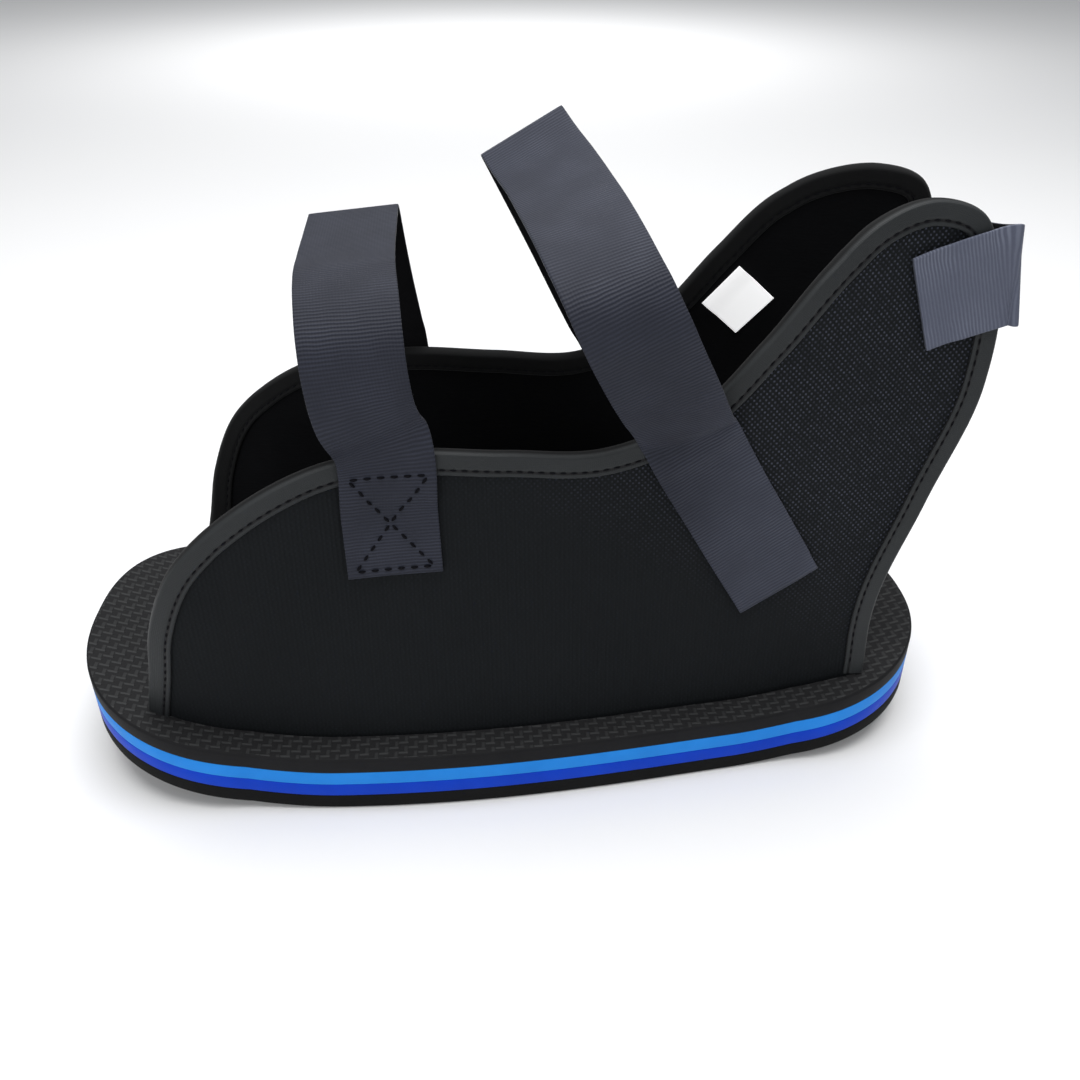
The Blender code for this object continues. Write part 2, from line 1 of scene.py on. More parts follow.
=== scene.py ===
# %% [markdown]
# # A cast shoe in Blender
# A cast shoe goes over a bandaged or plastered foot. It is a rocker sole of four foam sheets, a
# canvas sling that is open at the toe, over the instep and at the heel, taped edges and three
# webbing straps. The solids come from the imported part. This file gives each of them a finer shape
# and a finish. Each shape is worked out as a grid of points, so a size is changed in one place.

import math
import bpy
import bmesh
import numpy as np
from mathutils import Matrix, Vector


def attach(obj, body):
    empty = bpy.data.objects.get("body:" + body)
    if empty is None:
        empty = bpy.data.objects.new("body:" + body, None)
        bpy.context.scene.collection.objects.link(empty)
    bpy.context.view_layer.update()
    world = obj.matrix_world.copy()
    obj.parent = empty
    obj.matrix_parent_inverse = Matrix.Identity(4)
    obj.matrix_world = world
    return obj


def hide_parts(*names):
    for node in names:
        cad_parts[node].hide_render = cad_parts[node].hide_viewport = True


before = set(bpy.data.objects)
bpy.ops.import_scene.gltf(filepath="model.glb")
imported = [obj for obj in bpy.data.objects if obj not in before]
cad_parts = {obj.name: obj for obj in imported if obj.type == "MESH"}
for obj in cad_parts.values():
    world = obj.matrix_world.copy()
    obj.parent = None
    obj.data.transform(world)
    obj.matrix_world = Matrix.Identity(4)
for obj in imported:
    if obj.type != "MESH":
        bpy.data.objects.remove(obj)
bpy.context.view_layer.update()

# %% [markdown]
# ## The camera
# The lens, the height and the turn are those that fit the photograph. A camera this near to a
# shoe shows the near side larger than the far one, and a long lens from further off would not.
# The camera is placed by three directions at right angles: right, up and back.

# %% Camera
LENS_MM = 34.37
SENSOR_MM = 36.0
CAMERA_AZIMUTH = math.radians(-4.05)
CAMERA_HEIGHT = math.radians(32.12)
CAMERA_DISTANCE = 0.3752
AIM_HEIGHT = 0.060
AIM_RIGHT = 0.01159
AIM_UP = 0.00276
SOLE_SHIFT = -0.0020

back = Vector((math.sin(CAMERA_AZIMUTH) * math.cos(CAMERA_HEIGHT),
               -math.cos(CAMERA_AZIMUTH) * math.cos(CAMERA_HEIGHT), math.sin(CAMERA_HEIGHT)))
right = Vector((math.cos(CAMERA_AZIMUTH), math.sin(CAMERA_AZIMUTH), 0.0))
up = back.cross(right)
eye = Vector((SOLE_SHIFT, 0, AIM_HEIGHT)) + right * AIM_RIGHT + up * AIM_UP + back * CAMERA_DISTANCE
camera = bpy.data.objects.new("camera", bpy.data.cameras.new("camera"))
camera.data.lens = LENS_MM
camera.data.sensor_width = SENSOR_MM
camera.data.clip_start = 0.01
camera.matrix_world = Matrix.Translation(eye) @ Matrix((right, up, back)).transposed().to_4x4()
bpy.context.scene.collection.objects.link(camera)
bpy.context.scene.camera = camera
print("camera at", [round(value, 4) for value in eye])

# %% [markdown]
# ## The sole's lines
# A rocker sole is cut from flat sheets and glued in a curve, so that a stiff ankle can roll over
# it. Its outline is one superellipse at the toe, one at the heel and a swelling waist between.
# Its rise is a power of the distance beyond the flat middle. All four sheets share both.

# %% Sizes of the sole
SOLE_LENGTH = 0.300
BALL_WIDTH = 0.1265
HEEL_WIDTH = 0.1072
TOE_ROUND = 0.0605
HEEL_ROUND = 0.0530
SIDE_SWELL = 0.006
TOE_SQUARENESS = 2.46
HEEL_SQUARENESS = 2.32
TOE_LIFT = 0.0190
HEEL_LIFT = 0.0145
FOREFOOT_FLAT = 0.060
HEEL_FLAT = 0.075
TOE_CURVE = 1.76
HEEL_CURVE = 1.61
OUTSOLE_THICK = 0.0056
ROYAL_THICK = 0.0047
LIGHT_THICK = 0.0049
TOP_THICK = 0.0056
FIT = 0.0003
HALF = SOLE_LENGTH / 2
ROYAL_FLOOR = OUTSOLE_THICK + FIT
LIGHT_FLOOR = ROYAL_FLOOR + ROYAL_THICK + FIT
TOP_FLOOR = LIGHT_FLOOR + LIGHT_THICK + FIT
SOLE_TOP = TOP_FLOOR + TOP_THICK
TIP_ANGLE = 0.02
TIP_CROWDING = 1.15


def through(t, knots, values):
    """Smooth curve through table values: cubic pieces whose slopes blend the two neighbours'."""
    knots = np.asarray(knots, float)
    values = np.asarray(values, float)
    flat = values.ndim == 1
    if flat:
        values = values[:, None]
    t = np.clip(np.asarray(t, float), knots[0], knots[-1])
    step = np.diff(knots)[:, None]
    slope = np.diff(values, axis=0) / step
    share = step[1:] / (step[1:] + step[:-1])
    tangent = np.vstack([slope[:1], slope[:-1] * share + slope[1:] * (1 - share), slope[-1:]])
    k = np.clip(np.searchsorted(knots, t, side="right") - 1, 0, len(knots) - 2)
    h = step[k]
    s = (t - knots[k])[..., None] / h
    curve = (2 * s**3 - 3 * s**2 + 1) * values[k] + (s**3 - 2 * s**2 + s) * h * tangent[k]
    curve = curve + (3 * s**2 - 2 * s**3) * values[k + 1] + (s**3 - s**2) * h * tangent[k + 1]
    return curve[..., 0] if flat else curve


def ease(share):
    """Smooth step: 3 s squared less 2 s cubed, held between 0 and 1."""
    share = np.clip(share, 0, 1)
    return share * share * (3 - 2 * share)


def lift(x):
    """Height of the rocker above the floor: a power of the distance beyond the flat middle."""
    toe = np.clip((-FOREFOOT_FLAT - x) / (HALF - FOREFOOT_FLAT), 0, None) ** TOE_CURVE
    heel = np.clip((x - HEEL_FLAT) / (HALF - HEEL_FLAT), 0, None) ** HEEL_CURVE
    return TOE_LIFT * toe + HEEL_LIFT * heel


def sole_top(x):
    """Height of the walking surface: the four sheets on the rocker."""
    return SOLE_TOP + lift(x)


def sole_edge(steps, waist):
    """Half outline from toe to heel: two superellipse ends and a waist that swells as a sine."""
    turn = np.linspace(0, 1, steps) ** TIP_CROWDING * (math.pi / 2 - TIP_ANGLE) + TIP_ANGLE
    ball = BALL_WIDTH / 2
    heel = HEEL_WIDTH / 2
    toe_x = -HALF + TOE_ROUND * (1 - np.cos(turn) ** (2 / TOE_SQUARENESS))
    toe_y = ball * np.sin(turn) ** (2 / TOE_SQUARENESS)
    heel_x = HALF - HEEL_ROUND * (1 - np.cos(turn[::-1]) ** (2 / HEEL_SQUARENESS))
    heel_y = heel * np.sin(turn[::-1]) ** (2 / HEEL_SQUARENESS)
    part = np.linspace(0, 1, waist + 1)[1:-1]
    waist_x = toe_x[-1] + (heel_x[0] - toe_x[-1]) * part
    waist_y = ball + (heel - ball) * ease(part) + SIDE_SWELL * np.sin(math.pi * part)
    return np.concatenate([toe_x, waist_x, heel_x]), np.concatenate([toe_y, waist_y, heel_y])


FINE_STEPS = 400
FINE_X, FINE_Y = sole_edge(FINE_STEPS, FINE_STEPS)


def sole_half(x):
    """Half width of the sole at x."""
    return np.interp(x, FINE_X, FINE_Y)


print("sole top at middle, mm:", round(SOLE_TOP * 1000, 1))

# %% [markdown]
# ## From a grid of points to a piece
# Every piece below is an array of points and an array of point numbers for its faces. One helper
# puts them into a mesh, gives each corner its place on the cloth as a UV map in metres, and ties
# the piece to the part's body. The UV map lets a weave follow a bent strap.

# %% Helpers for meshes
def quads(index, flip=False):
    """Faces of a grid of point numbers, turned over with flip."""
    around = np.stack([index[:-1, :-1], index[1:, :-1], index[1:, 1:], index[:-1, 1:]], axis=-1)
    around = around.reshape(-1, 4)
    return around[:, ::-1] if flip else around


def make_piece(name, points, faces, stands_for=(), cloth=None, marks=None, weld=True):
    """One mesh object: points, quads, its place on the cloth and a material number per face."""
    points = np.asarray(points, float).reshape(-1, 3) + np.array([SOLE_SHIFT, 0, 0])
    faces = np.asarray(faces, int)
    mesh = bpy.data.meshes.new(name)
    mesh.from_pydata(points.tolist(), [], faces.tolist())
    if cloth is not None:
        corners = np.empty(len(mesh.loops), int)
        mesh.loops.foreach_get("vertex_index", corners)
        place = mesh.uv_layers.new(name="cloth")
        place.data.foreach_set("uv", np.asarray(cloth, float).reshape(-1, 2)[corners].ravel())
    if marks is not None:
        mesh.polygons.foreach_set("material_index", np.asarray(marks, np.int32))
    work = bmesh.new()
    work.from_mesh(mesh)
    if weld:
        bmesh.ops.remove_doubles(work, verts=work.verts, dist=1e-6)
    bmesh.ops.recalc_face_normals(work, faces=work.faces)
    work.to_mesh(mesh)
    work.free()
    mesh.shade_smooth()
    piece = bpy.data.objects.new(name, mesh)
    bpy.context.scene.collection.objects.link(piece)
    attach(piece, "root")
    if stands_for:
        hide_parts(*stands_for)
    print(name, "faces:", len(mesh.polygons))
    return piece


# %% [markdown]
# ## The four sheets of the sole
# The sheets are die cut, so their sides are flush and square with only the lowest and highest
# edge a little round. Each is one profile carried round the outline: in from the middle line
# below, up the side, and back in over the top. The two halves meet on the middle line.

# %% Sole sheets
EDGE_ROUND = 0.0012
SEAM_DIP = 0.00022
ROUND_ROWS = 5
CAP_ROWS = 12


def corner_round(radius, height, top):
    """Quarter circle of inset and height, for the edge where a side turns into a face."""
    turn = np.linspace(0, math.pi / 2, ROUND_ROWS)
    inset = radius * (1 - np.cos(turn))
    rise = radius * (1 - np.sin(turn))
    rows = np.stack([inset, height - rise if top else rise], axis=-1)
    return rows if top else rows[::-1]


def sole_sheet(name, floor, height, low, high, node):
    """A closed sheet: a profile of inset and height round the outline, and ruled caps to y = 0."""
    x, half = sole_edge(90, 110)
    run = np.gradient(np.stack([x, half], axis=-1), axis=0)
    run = run / np.linalg.norm(run, axis=1, keepdims=True)
    inwards = np.stack([run[:, 1], -run[:, 0]], axis=-1)
    side = np.concatenate([corner_round(low, height, False), corner_round(high, height, True)])
    insets = np.concatenate([np.full(CAP_ROWS, side[0, 0]), side[:, 0],
                             np.full(CAP_ROWS, side[-1, 0])])
    heights = np.concatenate([np.zeros(CAP_ROWS), side[:, 1], np.full(CAP_ROWS, height)])
    shares = np.concatenate([np.linspace(0, 1, CAP_ROWS + 1)[:-1], np.ones(len(side)),
                             np.linspace(1, 0, CAP_ROWS + 1)[1:]])
    px = x[None] + insets[:, None] * inwards[None, :, 0]
    py = (half[None] + insets[:, None] * inwards[None, :, 1]) * shares[:, None]
    pz = floor + heights[:, None] + lift(px)
    halves = [np.stack([px, sign * py, pz], axis=-1) for sign in (1, -1)]
    loop = np.concatenate([halves[0], halves[1][:, ::-1]], axis=1)
    rows, columns = loop.shape[:2]
    index = np.arange(rows * columns).reshape(rows, columns)
    index = np.concatenate([index, index[:, :1]], axis=1)
    marks = np.repeat(np.arange(rows - 1) >= CAP_ROWS + len(side) - 2, columns)
    return make_piece(name, loop, quads(index), [node], loop[..., :2], marks)


sheets = {
    "outsole": sole_sheet("outsole_sheet", 0, OUTSOLE_THICK + FIT, EDGE_ROUND, SEAM_DIP,
                          "outsole"),
    "royal": sole_sheet("royal_blue_sheet", ROYAL_FLOOR, ROYAL_THICK + FIT, SEAM_DIP, SEAM_DIP,
                        "midsole_royal_blue"),
    "light": sole_sheet("light_blue_sheet", LIGHT_FLOOR, LIGHT_THICK + FIT, SEAM_DIP, SEAM_DIP,
                        "midsole_light_blue"),
    "footbed": sole_sheet("footbed_sheet", TOP_FLOOR, TOP_THICK, SEAM_DIP, EDGE_ROUND,
                          "footbed"),
}

# %% [markdown]
# ## The canvas sides
# The sling is one padded canvas piece: its two sides rise from the sole, lean in a little and end
# in a tall ear at the heel. A side is a patch blended between its foot and its three free edges,
# drawn in side view and then set out from the middle plane. Soft creases are added where such a
# side gives: above the toe, at the waist of the ear and under the slanting strap.

# %% Sizes and tables of the sling
SIDE_HEIGHT = 0.098
EAR_RISE = 0.061
WALL = 0.0030
SOLE_MARGIN = 0.0128
HEEL_TANGENT = 0.046
EAR_HEIGHT = SIDE_HEIGHT + EAR_RISE
TAPE_WIDTH = 0.0075
TAPE_THICK = 0.0007
TAPE_FIT = 0.0005
EDGE_INSET = TAPE_THICK + FIT + FIT
PROBE = 0.0005
SIDE_OUTLINE = [
    # along, side, left ear, right ear
    (-0.407, 0.000, 0.00, 0.00),
    (-0.393, 0.190, 0.00, 0.00),
    (-0.378, 0.410, 0.00, 0.00),
    (-0.345, 0.648, 0.00, 0.00),
    (-0.284, 0.850, 0.00, 0.00),
    (-0.205, 0.985, 0.00, 0.00),
    (-0.111, 1.020, 0.00, 0.00),
    (-0.006, 1.002, 0.00, 0.00),
    (0.097, 0.992, 0.00, 0.01),
    (0.180, 1.000, 0.14, 0.23),
    (0.250, 1.000, 0.49, 0.63),
    (0.308, 1.000, 0.82, 0.91),
    (0.352, 1.000, 0.98, 1.00),
    (0.413, 1.000, 1.00, 0.99),
    (0.463, 1.000, 0.86, 0.85),
    (0.488, 1.000, 0.57, 0.56),
    (0.494, 0.985, 0.00, 0.00),
    (0.452, 0.620, 0.00, 0.00),
    (0.413, 0.280, 0.00, 0.00),
    (0.410, 0.000, 0.00, 0.00),
]
SHOULDER_ROW = 4
EAR_TOP_ROW = 13
SIDE_LEAN = [
    # along, lean
    (-0.42, -0.145),
    (-0.30, -0.018),
    (-0.15, 0.116),
    (0.00, 0.124),
    (0.15, 0.097),
    (0.30, 0.068),
    (0.42, 0.104),
    (0.51, 0.104),
]
CREASES = [
    # along, up, long, wide, turn in degrees, depth in mm
    (-0.32, 0.22, 0.120, 0.040, 70, -0.55),
    (-0.26, 0.35, 0.150, 0.035, 62, 0.45),
    (-0.05, 0.20, 0.200, 0.040, 5, -0.45),
    (0.10, 0.30, 0.160, 0.030, 35, 0.45),
    (0.22, 0.20, 0.130, 0.030, 55, -0.60),
    (0.33, 0.40, 0.120, 0.030, 80, 0.50),
    (0.38, 0.14, 0.080, 0.025, 20, -0.50),
    (0.33, 0.70, 0.130, 0.045, -35, -0.50),
]


def wall_out(x, z):
    """Distance of a wall's middle from the centre plane: the sole's edge less a margin and lean."""
    lean_table = np.array(SIDE_LEAN)
    rise = np.clip(z - sole_top(x), 0, None)
    turn = HALF - HEEL_TANGENT
    slope = (sole_half(turn) - sole_half(turn - WALL)) / WALL
    foot = sole_half(np.minimum(x, turn)) + slope * np.clip(x - turn, 0, None) - SOLE_MARGIN
    lean = through(x / SOLE_LENGTH, lean_table[:, 0], lean_table[:, 1])
    return foot - lean * rise


def crease(x, z):
    """Soft troughs and ridges: each row a bell curve, long one way and narrow the other."""
    table = np.array(CREASES)
    along = x[..., None] / SOLE_LENGTH - table[:, 0]
    rise = (z[..., None] - SOLE_TOP) / EAR_HEIGHT - table[:, 1]
    rise = rise * EAR_HEIGHT / SOLE_LENGTH
    turn = np.radians(table[:, 4])
    a = along * np.cos(turn) + rise * np.sin(turn)
    b = rise * np.cos(turn) - along * np.sin(turn)
    bells = np.exp(-(a / table[:, 2]) ** 2 - (b / table[:, 3]) ** 2)
    return bells @ (table[:, 5] / 1000)


def on_wall(x, z, side, depth):
    """Point at depth from the wall's middle, out along the wall's own direction."""
    x = np.asarray(x, float)
    z = np.asarray(z, float)
    along = (wall_out(x + PROBE, z) - wall_out(x - PROBE, z)) / (2 * PROBE)
    rise = (wall_out(x, z + PROBE) - wall_out(x, z - PROBE)) / (2 * PROBE)
    size = np.sqrt(1 + along**2 + rise**2)
    out = wall_out(x, z) + crease(x, z) + depth / size
    return np.stack([x - depth * along / size, side * out, z - depth * rise / size], axis=-1)


def side_knots(side):
    """Corner points of one side's outline in side view, and the length run to each."""
    table = np.array(SIDE_OUTLINE)
    ear = table[:, 2] if side < 0 else table[:, 3]
    x = table[:, 0] * SOLE_LENGTH
    z = sole_top(x) + table[:, 1] * SIDE_HEIGHT + ear * EAR_RISE
    points = np.stack([x, z], axis=-1)
    steps = np.linalg.norm(np.diff(points, axis=0), axis=1)
    return points, np.concatenate([[0.0], np.cumsum(steps)])


def side_outline(s, side, inset=0.0):
    """Point of the outline at running length s, moved square to it into the side by inset."""
    points, knots = side_knots(side)
    here = through(s, knots, points)
    ahead = through(np.minimum(s + PROBE, knots[-1]), knots, points)
    behind = through(np.maximum(s - PROBE, 0), knots, points)
    run = (ahead - behind) / np.linalg.norm(ahead - behind, axis=-1, keepdims=True)
    inwards = np.stack([run[..., 1], -run[..., 0]], axis=-1)
    return here + inwards * np.asarray(inset)[..., None]


print("free edges, mm:", [round(side_knots(side)[1][-1] * 1000) for side in (-1, 1)])

# %% Canvas sides
SIDE_COLUMNS = 190
SIDE_ROWS = 80
FOOT_DEPTH = 0.0015


def side_grid(side):
    """Patch in side view: foot and top ruled, toe and heel ruled, less the corners' own share."""
    knots = side_knots(side)[1]
    shoulder = knots[SHOULDER_ROW]
    ear_top = knots[EAR_TOP_ROW]
    rising = np.linspace(0, shoulder, SIDE_ROWS + 1)
    over = np.linspace(shoulder, ear_top, SIDE_COLUMNS + 1)
    falling = np.linspace(ear_top, knots[-1], SIDE_ROWS + 1)
    toe_edge = side_outline(rising, side, EDGE_INSET)
    top_edge = side_outline(over, side, EDGE_INSET)
    heel_edge = side_outline(falling, side, EDGE_INSET)[::-1]
    u = np.linspace(0, 1, SIDE_COLUMNS + 1)[:, None, None]
    v = np.linspace(0, 1, SIDE_ROWS + 1)[None, :, None]
    foot_x = toe_edge[0, 0] + (heel_edge[0, 0] - toe_edge[0, 0]) * u[:, 0, 0]
    foot = np.stack([foot_x, sole_top(foot_x) - FOOT_DEPTH], axis=-1)
    toe_edge[0] = foot[0]
    heel_edge[0] = foot[-1]
    ruled = (1 - v) * foot[:, None] + v * top_edge[:, None]
    crossed = (1 - u) * toe_edge[None] + u * heel_edge[None]
    corners = (1 - v) * ((1 - u) * foot[0] + u * foot[-1])
    corners = corners + v * ((1 - u) * top_edge[0] + u * top_edge[-1])
    return ruled + crossed - corners


def canvas_side(name, side):
    """A closed wall: the patch set out and in by half the wall, joined round its edge."""
    patch = side_grid(side)
    out = on_wall(patch[..., 0], patch[..., 1], side, WALL / 2)
    inner = on_wall(patch[..., 0], patch[..., 1], side, -WALL / 2)
    index = np.arange(patch[..., 0].size).reshape(patch.shape[:2])
    rim = np.concatenate([index[0], index[1:, -1], index[-1, -2::-1], index[-2::-1, 0]])
    faces = np.concatenate([quads(index), quads(index + index.size, flip=True),
                            quads(np.stack([rim, rim + index.size]))])
    marks = np.zeros(len(faces))
    marks[len(quads(index)):] = 1
    points = np.concatenate([out.reshape(-1, 3), inner.reshape(-1, 3)])
    cloth = np.concatenate([patch.reshape(-1, 2), patch.reshape(-1, 2)])
    return points, faces, cloth, marks


def join(parts):
    """Several (points, faces, cloth, marks) as one, with the point numbers moved along."""
    starts = np.cumsum([0] + [len(part[0]) for part in parts[:-1]])
    faces = np.concatenate([part[1] + start for part, start in zip(parts, starts)])
    return (np.concatenate([part[0] for part in parts]), faces,
            np.concatenate([part[2] for part in parts]),
            np.concatenate([part[3] for part in parts]))


points, faces, cloth, marks = join([canvas_side("left", -1), canvas_side("right", 1)])
canvas = make_piece("canvas_sling", points, faces, ["upper_sling"], cloth, marks)

# %% [markdown]
# ## The edge tape
# A woven tape is folded over the raw edge and sewn down through both legs. Its section is a
# channel with a round crown. The thread pulls a groove into each leg. The section is carried
# along the outline, and the stitches are laid in the groove.

# %% Edge tape
GROOVE_INSET = 0.0058
GROOVE_WIDE = 0.00055
GROOVE_DEEP = 0.00028
CROWN_REACH = 0.0014
EDGE_THINNING = 0.00030
EDGE_RAMP = 0.0005
TAPE_STEPS = 620
LEG_ROWS = 22
CROWN_ROWS = 12
TAPE_SKIN = WALL / 2 + TAPE_FIT + TAPE_THICK
TAPE_SLOT = WALL / 2 + TAPE_FIT - FIT


def tape_face(inset):
    """Depth of the tape's outer face: its skin, less a bell-shaped groove under the thread."""
    groove = GROOVE_DEEP * np.exp(-((inset - GROOVE_INSET) / GROOVE_WIDE) ** 2)
    edge = EDGE_THINNING * ease((inset - TAPE_WIDTH + EDGE_RAMP) / EDGE_RAMP)
    return TAPE_SKIN - groove - edge


def tape_section():
    """Depth and inset round the channel: crown as a half ellipse, then the two legs."""
    leg = np.linspace(TAPE_WIDTH, CROWN_REACH, LEG_ROWS)
    outer = np.stack([tape_face(leg), leg], axis=-1)
    turn = np.linspace(0, math.pi, CROWN_ROWS + 2)[1:-1]
    crown = np.stack([TAPE_SKIN * np.cos(turn), CROWN_REACH * (1 - np.sin(turn))], axis=-1)
    other = outer[::-1] * np.array([-1, 1])
    inner = np.array([(-TAPE_SLOT, TAPE_WIDTH), (-TAPE_SLOT, EDGE_INSET),
                      (TAPE_SLOT, EDGE_INSET), (TAPE_SLOT, TAPE_WIDTH)])
    return np.concatenate([outer, crown, other, inner])


def edge_tape(name, side, node):
    """The channel section at each of many places along the outline, with closed ends."""
    run = np.linspace(0.0, side_knots(side)[1][-1], TAPE_STEPS)
    section = tape_section()
    flat = side_outline(run[:, None] + 0 * section[None, :, 1], side, section[None, :, 1])
    points = on_wall(flat[..., 0], flat[..., 1], side, section[None, :, 0])
    index = np.arange(points[..., 0].size).reshape(points.shape[:2])
    around = np.concatenate([index, index[:, :1]], axis=1)
    lengths = np.concatenate([[0], np.cumsum(np.linalg.norm(np.diff(section, axis=0), axis=1))])
    cloth = np.stack(np.broadcast_arrays(run[:, None], lengths[None]), axis=-1)
    return make_piece(name, points, quads(around), [node], cloth)


tapes = [edge_tape("edge_tape_left", -1, "binding_left"),
         edge_tape("edge_tape_right", 1, "binding_right")]

# %% [markdown]
# ## Webbing straps
# Webbing is woven flat and narrow, with ribs across it. Each strap is a flat strip along a smooth
# line that creases sharply where the closed strap has been folded over. The part of it that lies
# on the canvas follows the wall and steps up over the tape. Its line is a table of places.

# %% Strap tables
STRAP_WIDTH = 0.0295
STRAP_THICK = 0.0014
LAP_FIT = 0.0004
SEAT_RAMP = 0.006
SEAT_MARGIN = 0.004
FRONT_STRAP = [
    # place, along, out, up
    ("left", -0.123, 0.0, 0.379),
    ("left", -0.125, 0.0, 0.500),
    ("left", -0.128, 0.0, 0.645),
    ("free", -0.138, -0.740, 0.710),
    ("free", -0.144, -0.735, 0.782),
    ("free", -0.147, -0.688, 0.851),
    ("free", -0.150, -0.553, 0.904),
    ("free", -0.154, -0.348, 0.930),
    ("free", -0.157, -0.079, 0.935),
    ("free", -0.158, 0.221, 0.944),
    ("fold", -0.158, 0.506, 0.957),
    ("free", -0.152, 0.580, 0.845),
    ("free", -0.145, 0.668, 0.738),
    ("right", -0.140, 0.0, 0.645),
    ("right", -0.132, 0.0, 0.450),
    ("right", -0.124, 0.0, 0.260),
]
INSTEP_STRAP = [
    # place, along, out, up
    ("left", 0.2917, 0.0, 0.275),
    ("left", 0.2450, 0.0, 0.422),
    ("left", 0.1823, 0.0, 0.622),
    ("free", 0.1530, -0.815, 0.731),
    ("free", 0.1317, -0.880, 0.807),
    ("free", 0.1120, -0.910, 0.882),
    ("free", 0.0960, -0.854, 0.945),
    ("free", 0.0820, -0.696, 0.992),
    ("free", 0.0707, -0.474, 1.024),
    ("free", 0.0600, -0.190, 1.046),
    ("free", 0.0480, 0.095, 1.068),
    ("free", 0.0360, 0.269, 1.089),
    ("fold", 0.0240, 0.403, 1.116),
    ("free", 0.0600, 0.520, 0.975),
    ("free", 0.1000, 0.640, 0.812),
    ("right", 0.1370, 0.0, 0.670),
    ("right", 0.1900, 0.0, 0.490),
    ("right", 0.2360, 0.0, 0.330),
]
HEEL_STRAP = [
    # place, along, out, up
    ("left", 0.406, 0.0, 0.855),
    ("left", 0.448, 0.0, 0.880),
    ("left", 0.480, 0.0, 0.897),
    ("left", 0.495, 0.0, 0.905),
    ("fold", 0.5055, -0.451, 0.909),
    ("free", 0.5065, -0.280, 0.890),
    ("free", 0.5080, -0.080, 0.873),
    ("free", 0.5090, 0.130, 0.862),
    ("free", 0.5090, 0.290, 0.857),
    ("free", 0.5065, 0.390, 0.855),
    ("right", 0.498, 0.0, 0.853),
    ("right", 0.482, 0.0, 0.852),
    ("right", 0.430, 0.0, 0.846),
    ("right", 0.370, 0.0, 0.840),
]

# %% Straps
EDGE_SAMPLES = 400
EDGE_POINTS = {side: side_outline(np.linspace(0, side_knots(side)[1][-1], EDGE_SAMPLES), side)
               for side in (-1, 1)}
FOLD_REACH = 0.0026
STRAP_LEAVE = 0.006
LINE_SAMPLES = 500
STRAP_STEPS = 260
STRAP_COLUMNS = 30


def seat(x, z, side, thick):
    """Depth of a strip's middle: on the canvas, or on the tape where it is near the edge."""
    edge = EDGE_POINTS[side]
    gap = np.min(np.hypot(x[..., None] - edge[:, 0], z[..., None] - edge[:, 1]), axis=-1)
    climb = ease((TAPE_WIDTH + SEAT_MARGIN + SEAT_RAMP - gap) / SEAT_RAMP)
    return WALL / 2 + LAP_FIT + thick / 2 + (TAPE_FIT + TAPE_THICK) * climb


def strap_rows(table, across_way):
    """Middle line of a strap as points, each row's crosswise direction and side, and its fold."""
    points, sides, ways = [], [], []
    for place, along, out, rise in table:
        x = along * SOLE_LENGTH
        z = SOLE_TOP + rise * EAR_HEIGHT
        side = {"left": -1, "right": 1}.get(place, 0)
        if side:
            depth = seat(np.array(x), np.array(z), side, STRAP_THICK)
            points.append(on_wall(x, z, side, depth))
            ends = [on_wall(x + k * across_way[0], z + k * across_way[2], side, WALL)
                    for k in (-STRAP_WIDTH / 2, STRAP_WIDTH / 2)]
            ways.append((ends[1] - ends[0]) / STRAP_WIDTH)
        else:
            points.append(np.array([x, out * BALL_WIDTH / 2, z]))
            ways.append(np.array(across_way))
        sides.append(side)
    for k in range(1, len(sides) - 1):
        if sides[k] == 0:
            for beside in (k - 1, k + 1):
                if sides[beside]:
                    ways[k] = ways[beside]
    fold = [row[0] for row in table].index("fold")
    cross = np.cross(points[fold] - points[fold - 1], points[fold + 1] - points[fold])
    cross = cross / np.linalg.norm(cross)
    ways[fold] = cross * np.sign(cross @ across_way)
    order = np.arange(len(sides))
    set_rows = [k for k in order if k == fold or any(sides[max(k - 1, 0):k + 2])]
    known = np.array([ways[k] for k in set_rows])
    ways = np.stack([np.interp(order, set_rows, column) for column in known.T], axis=-1)
    return np.array(points), ways, np.array(sides, float), fold


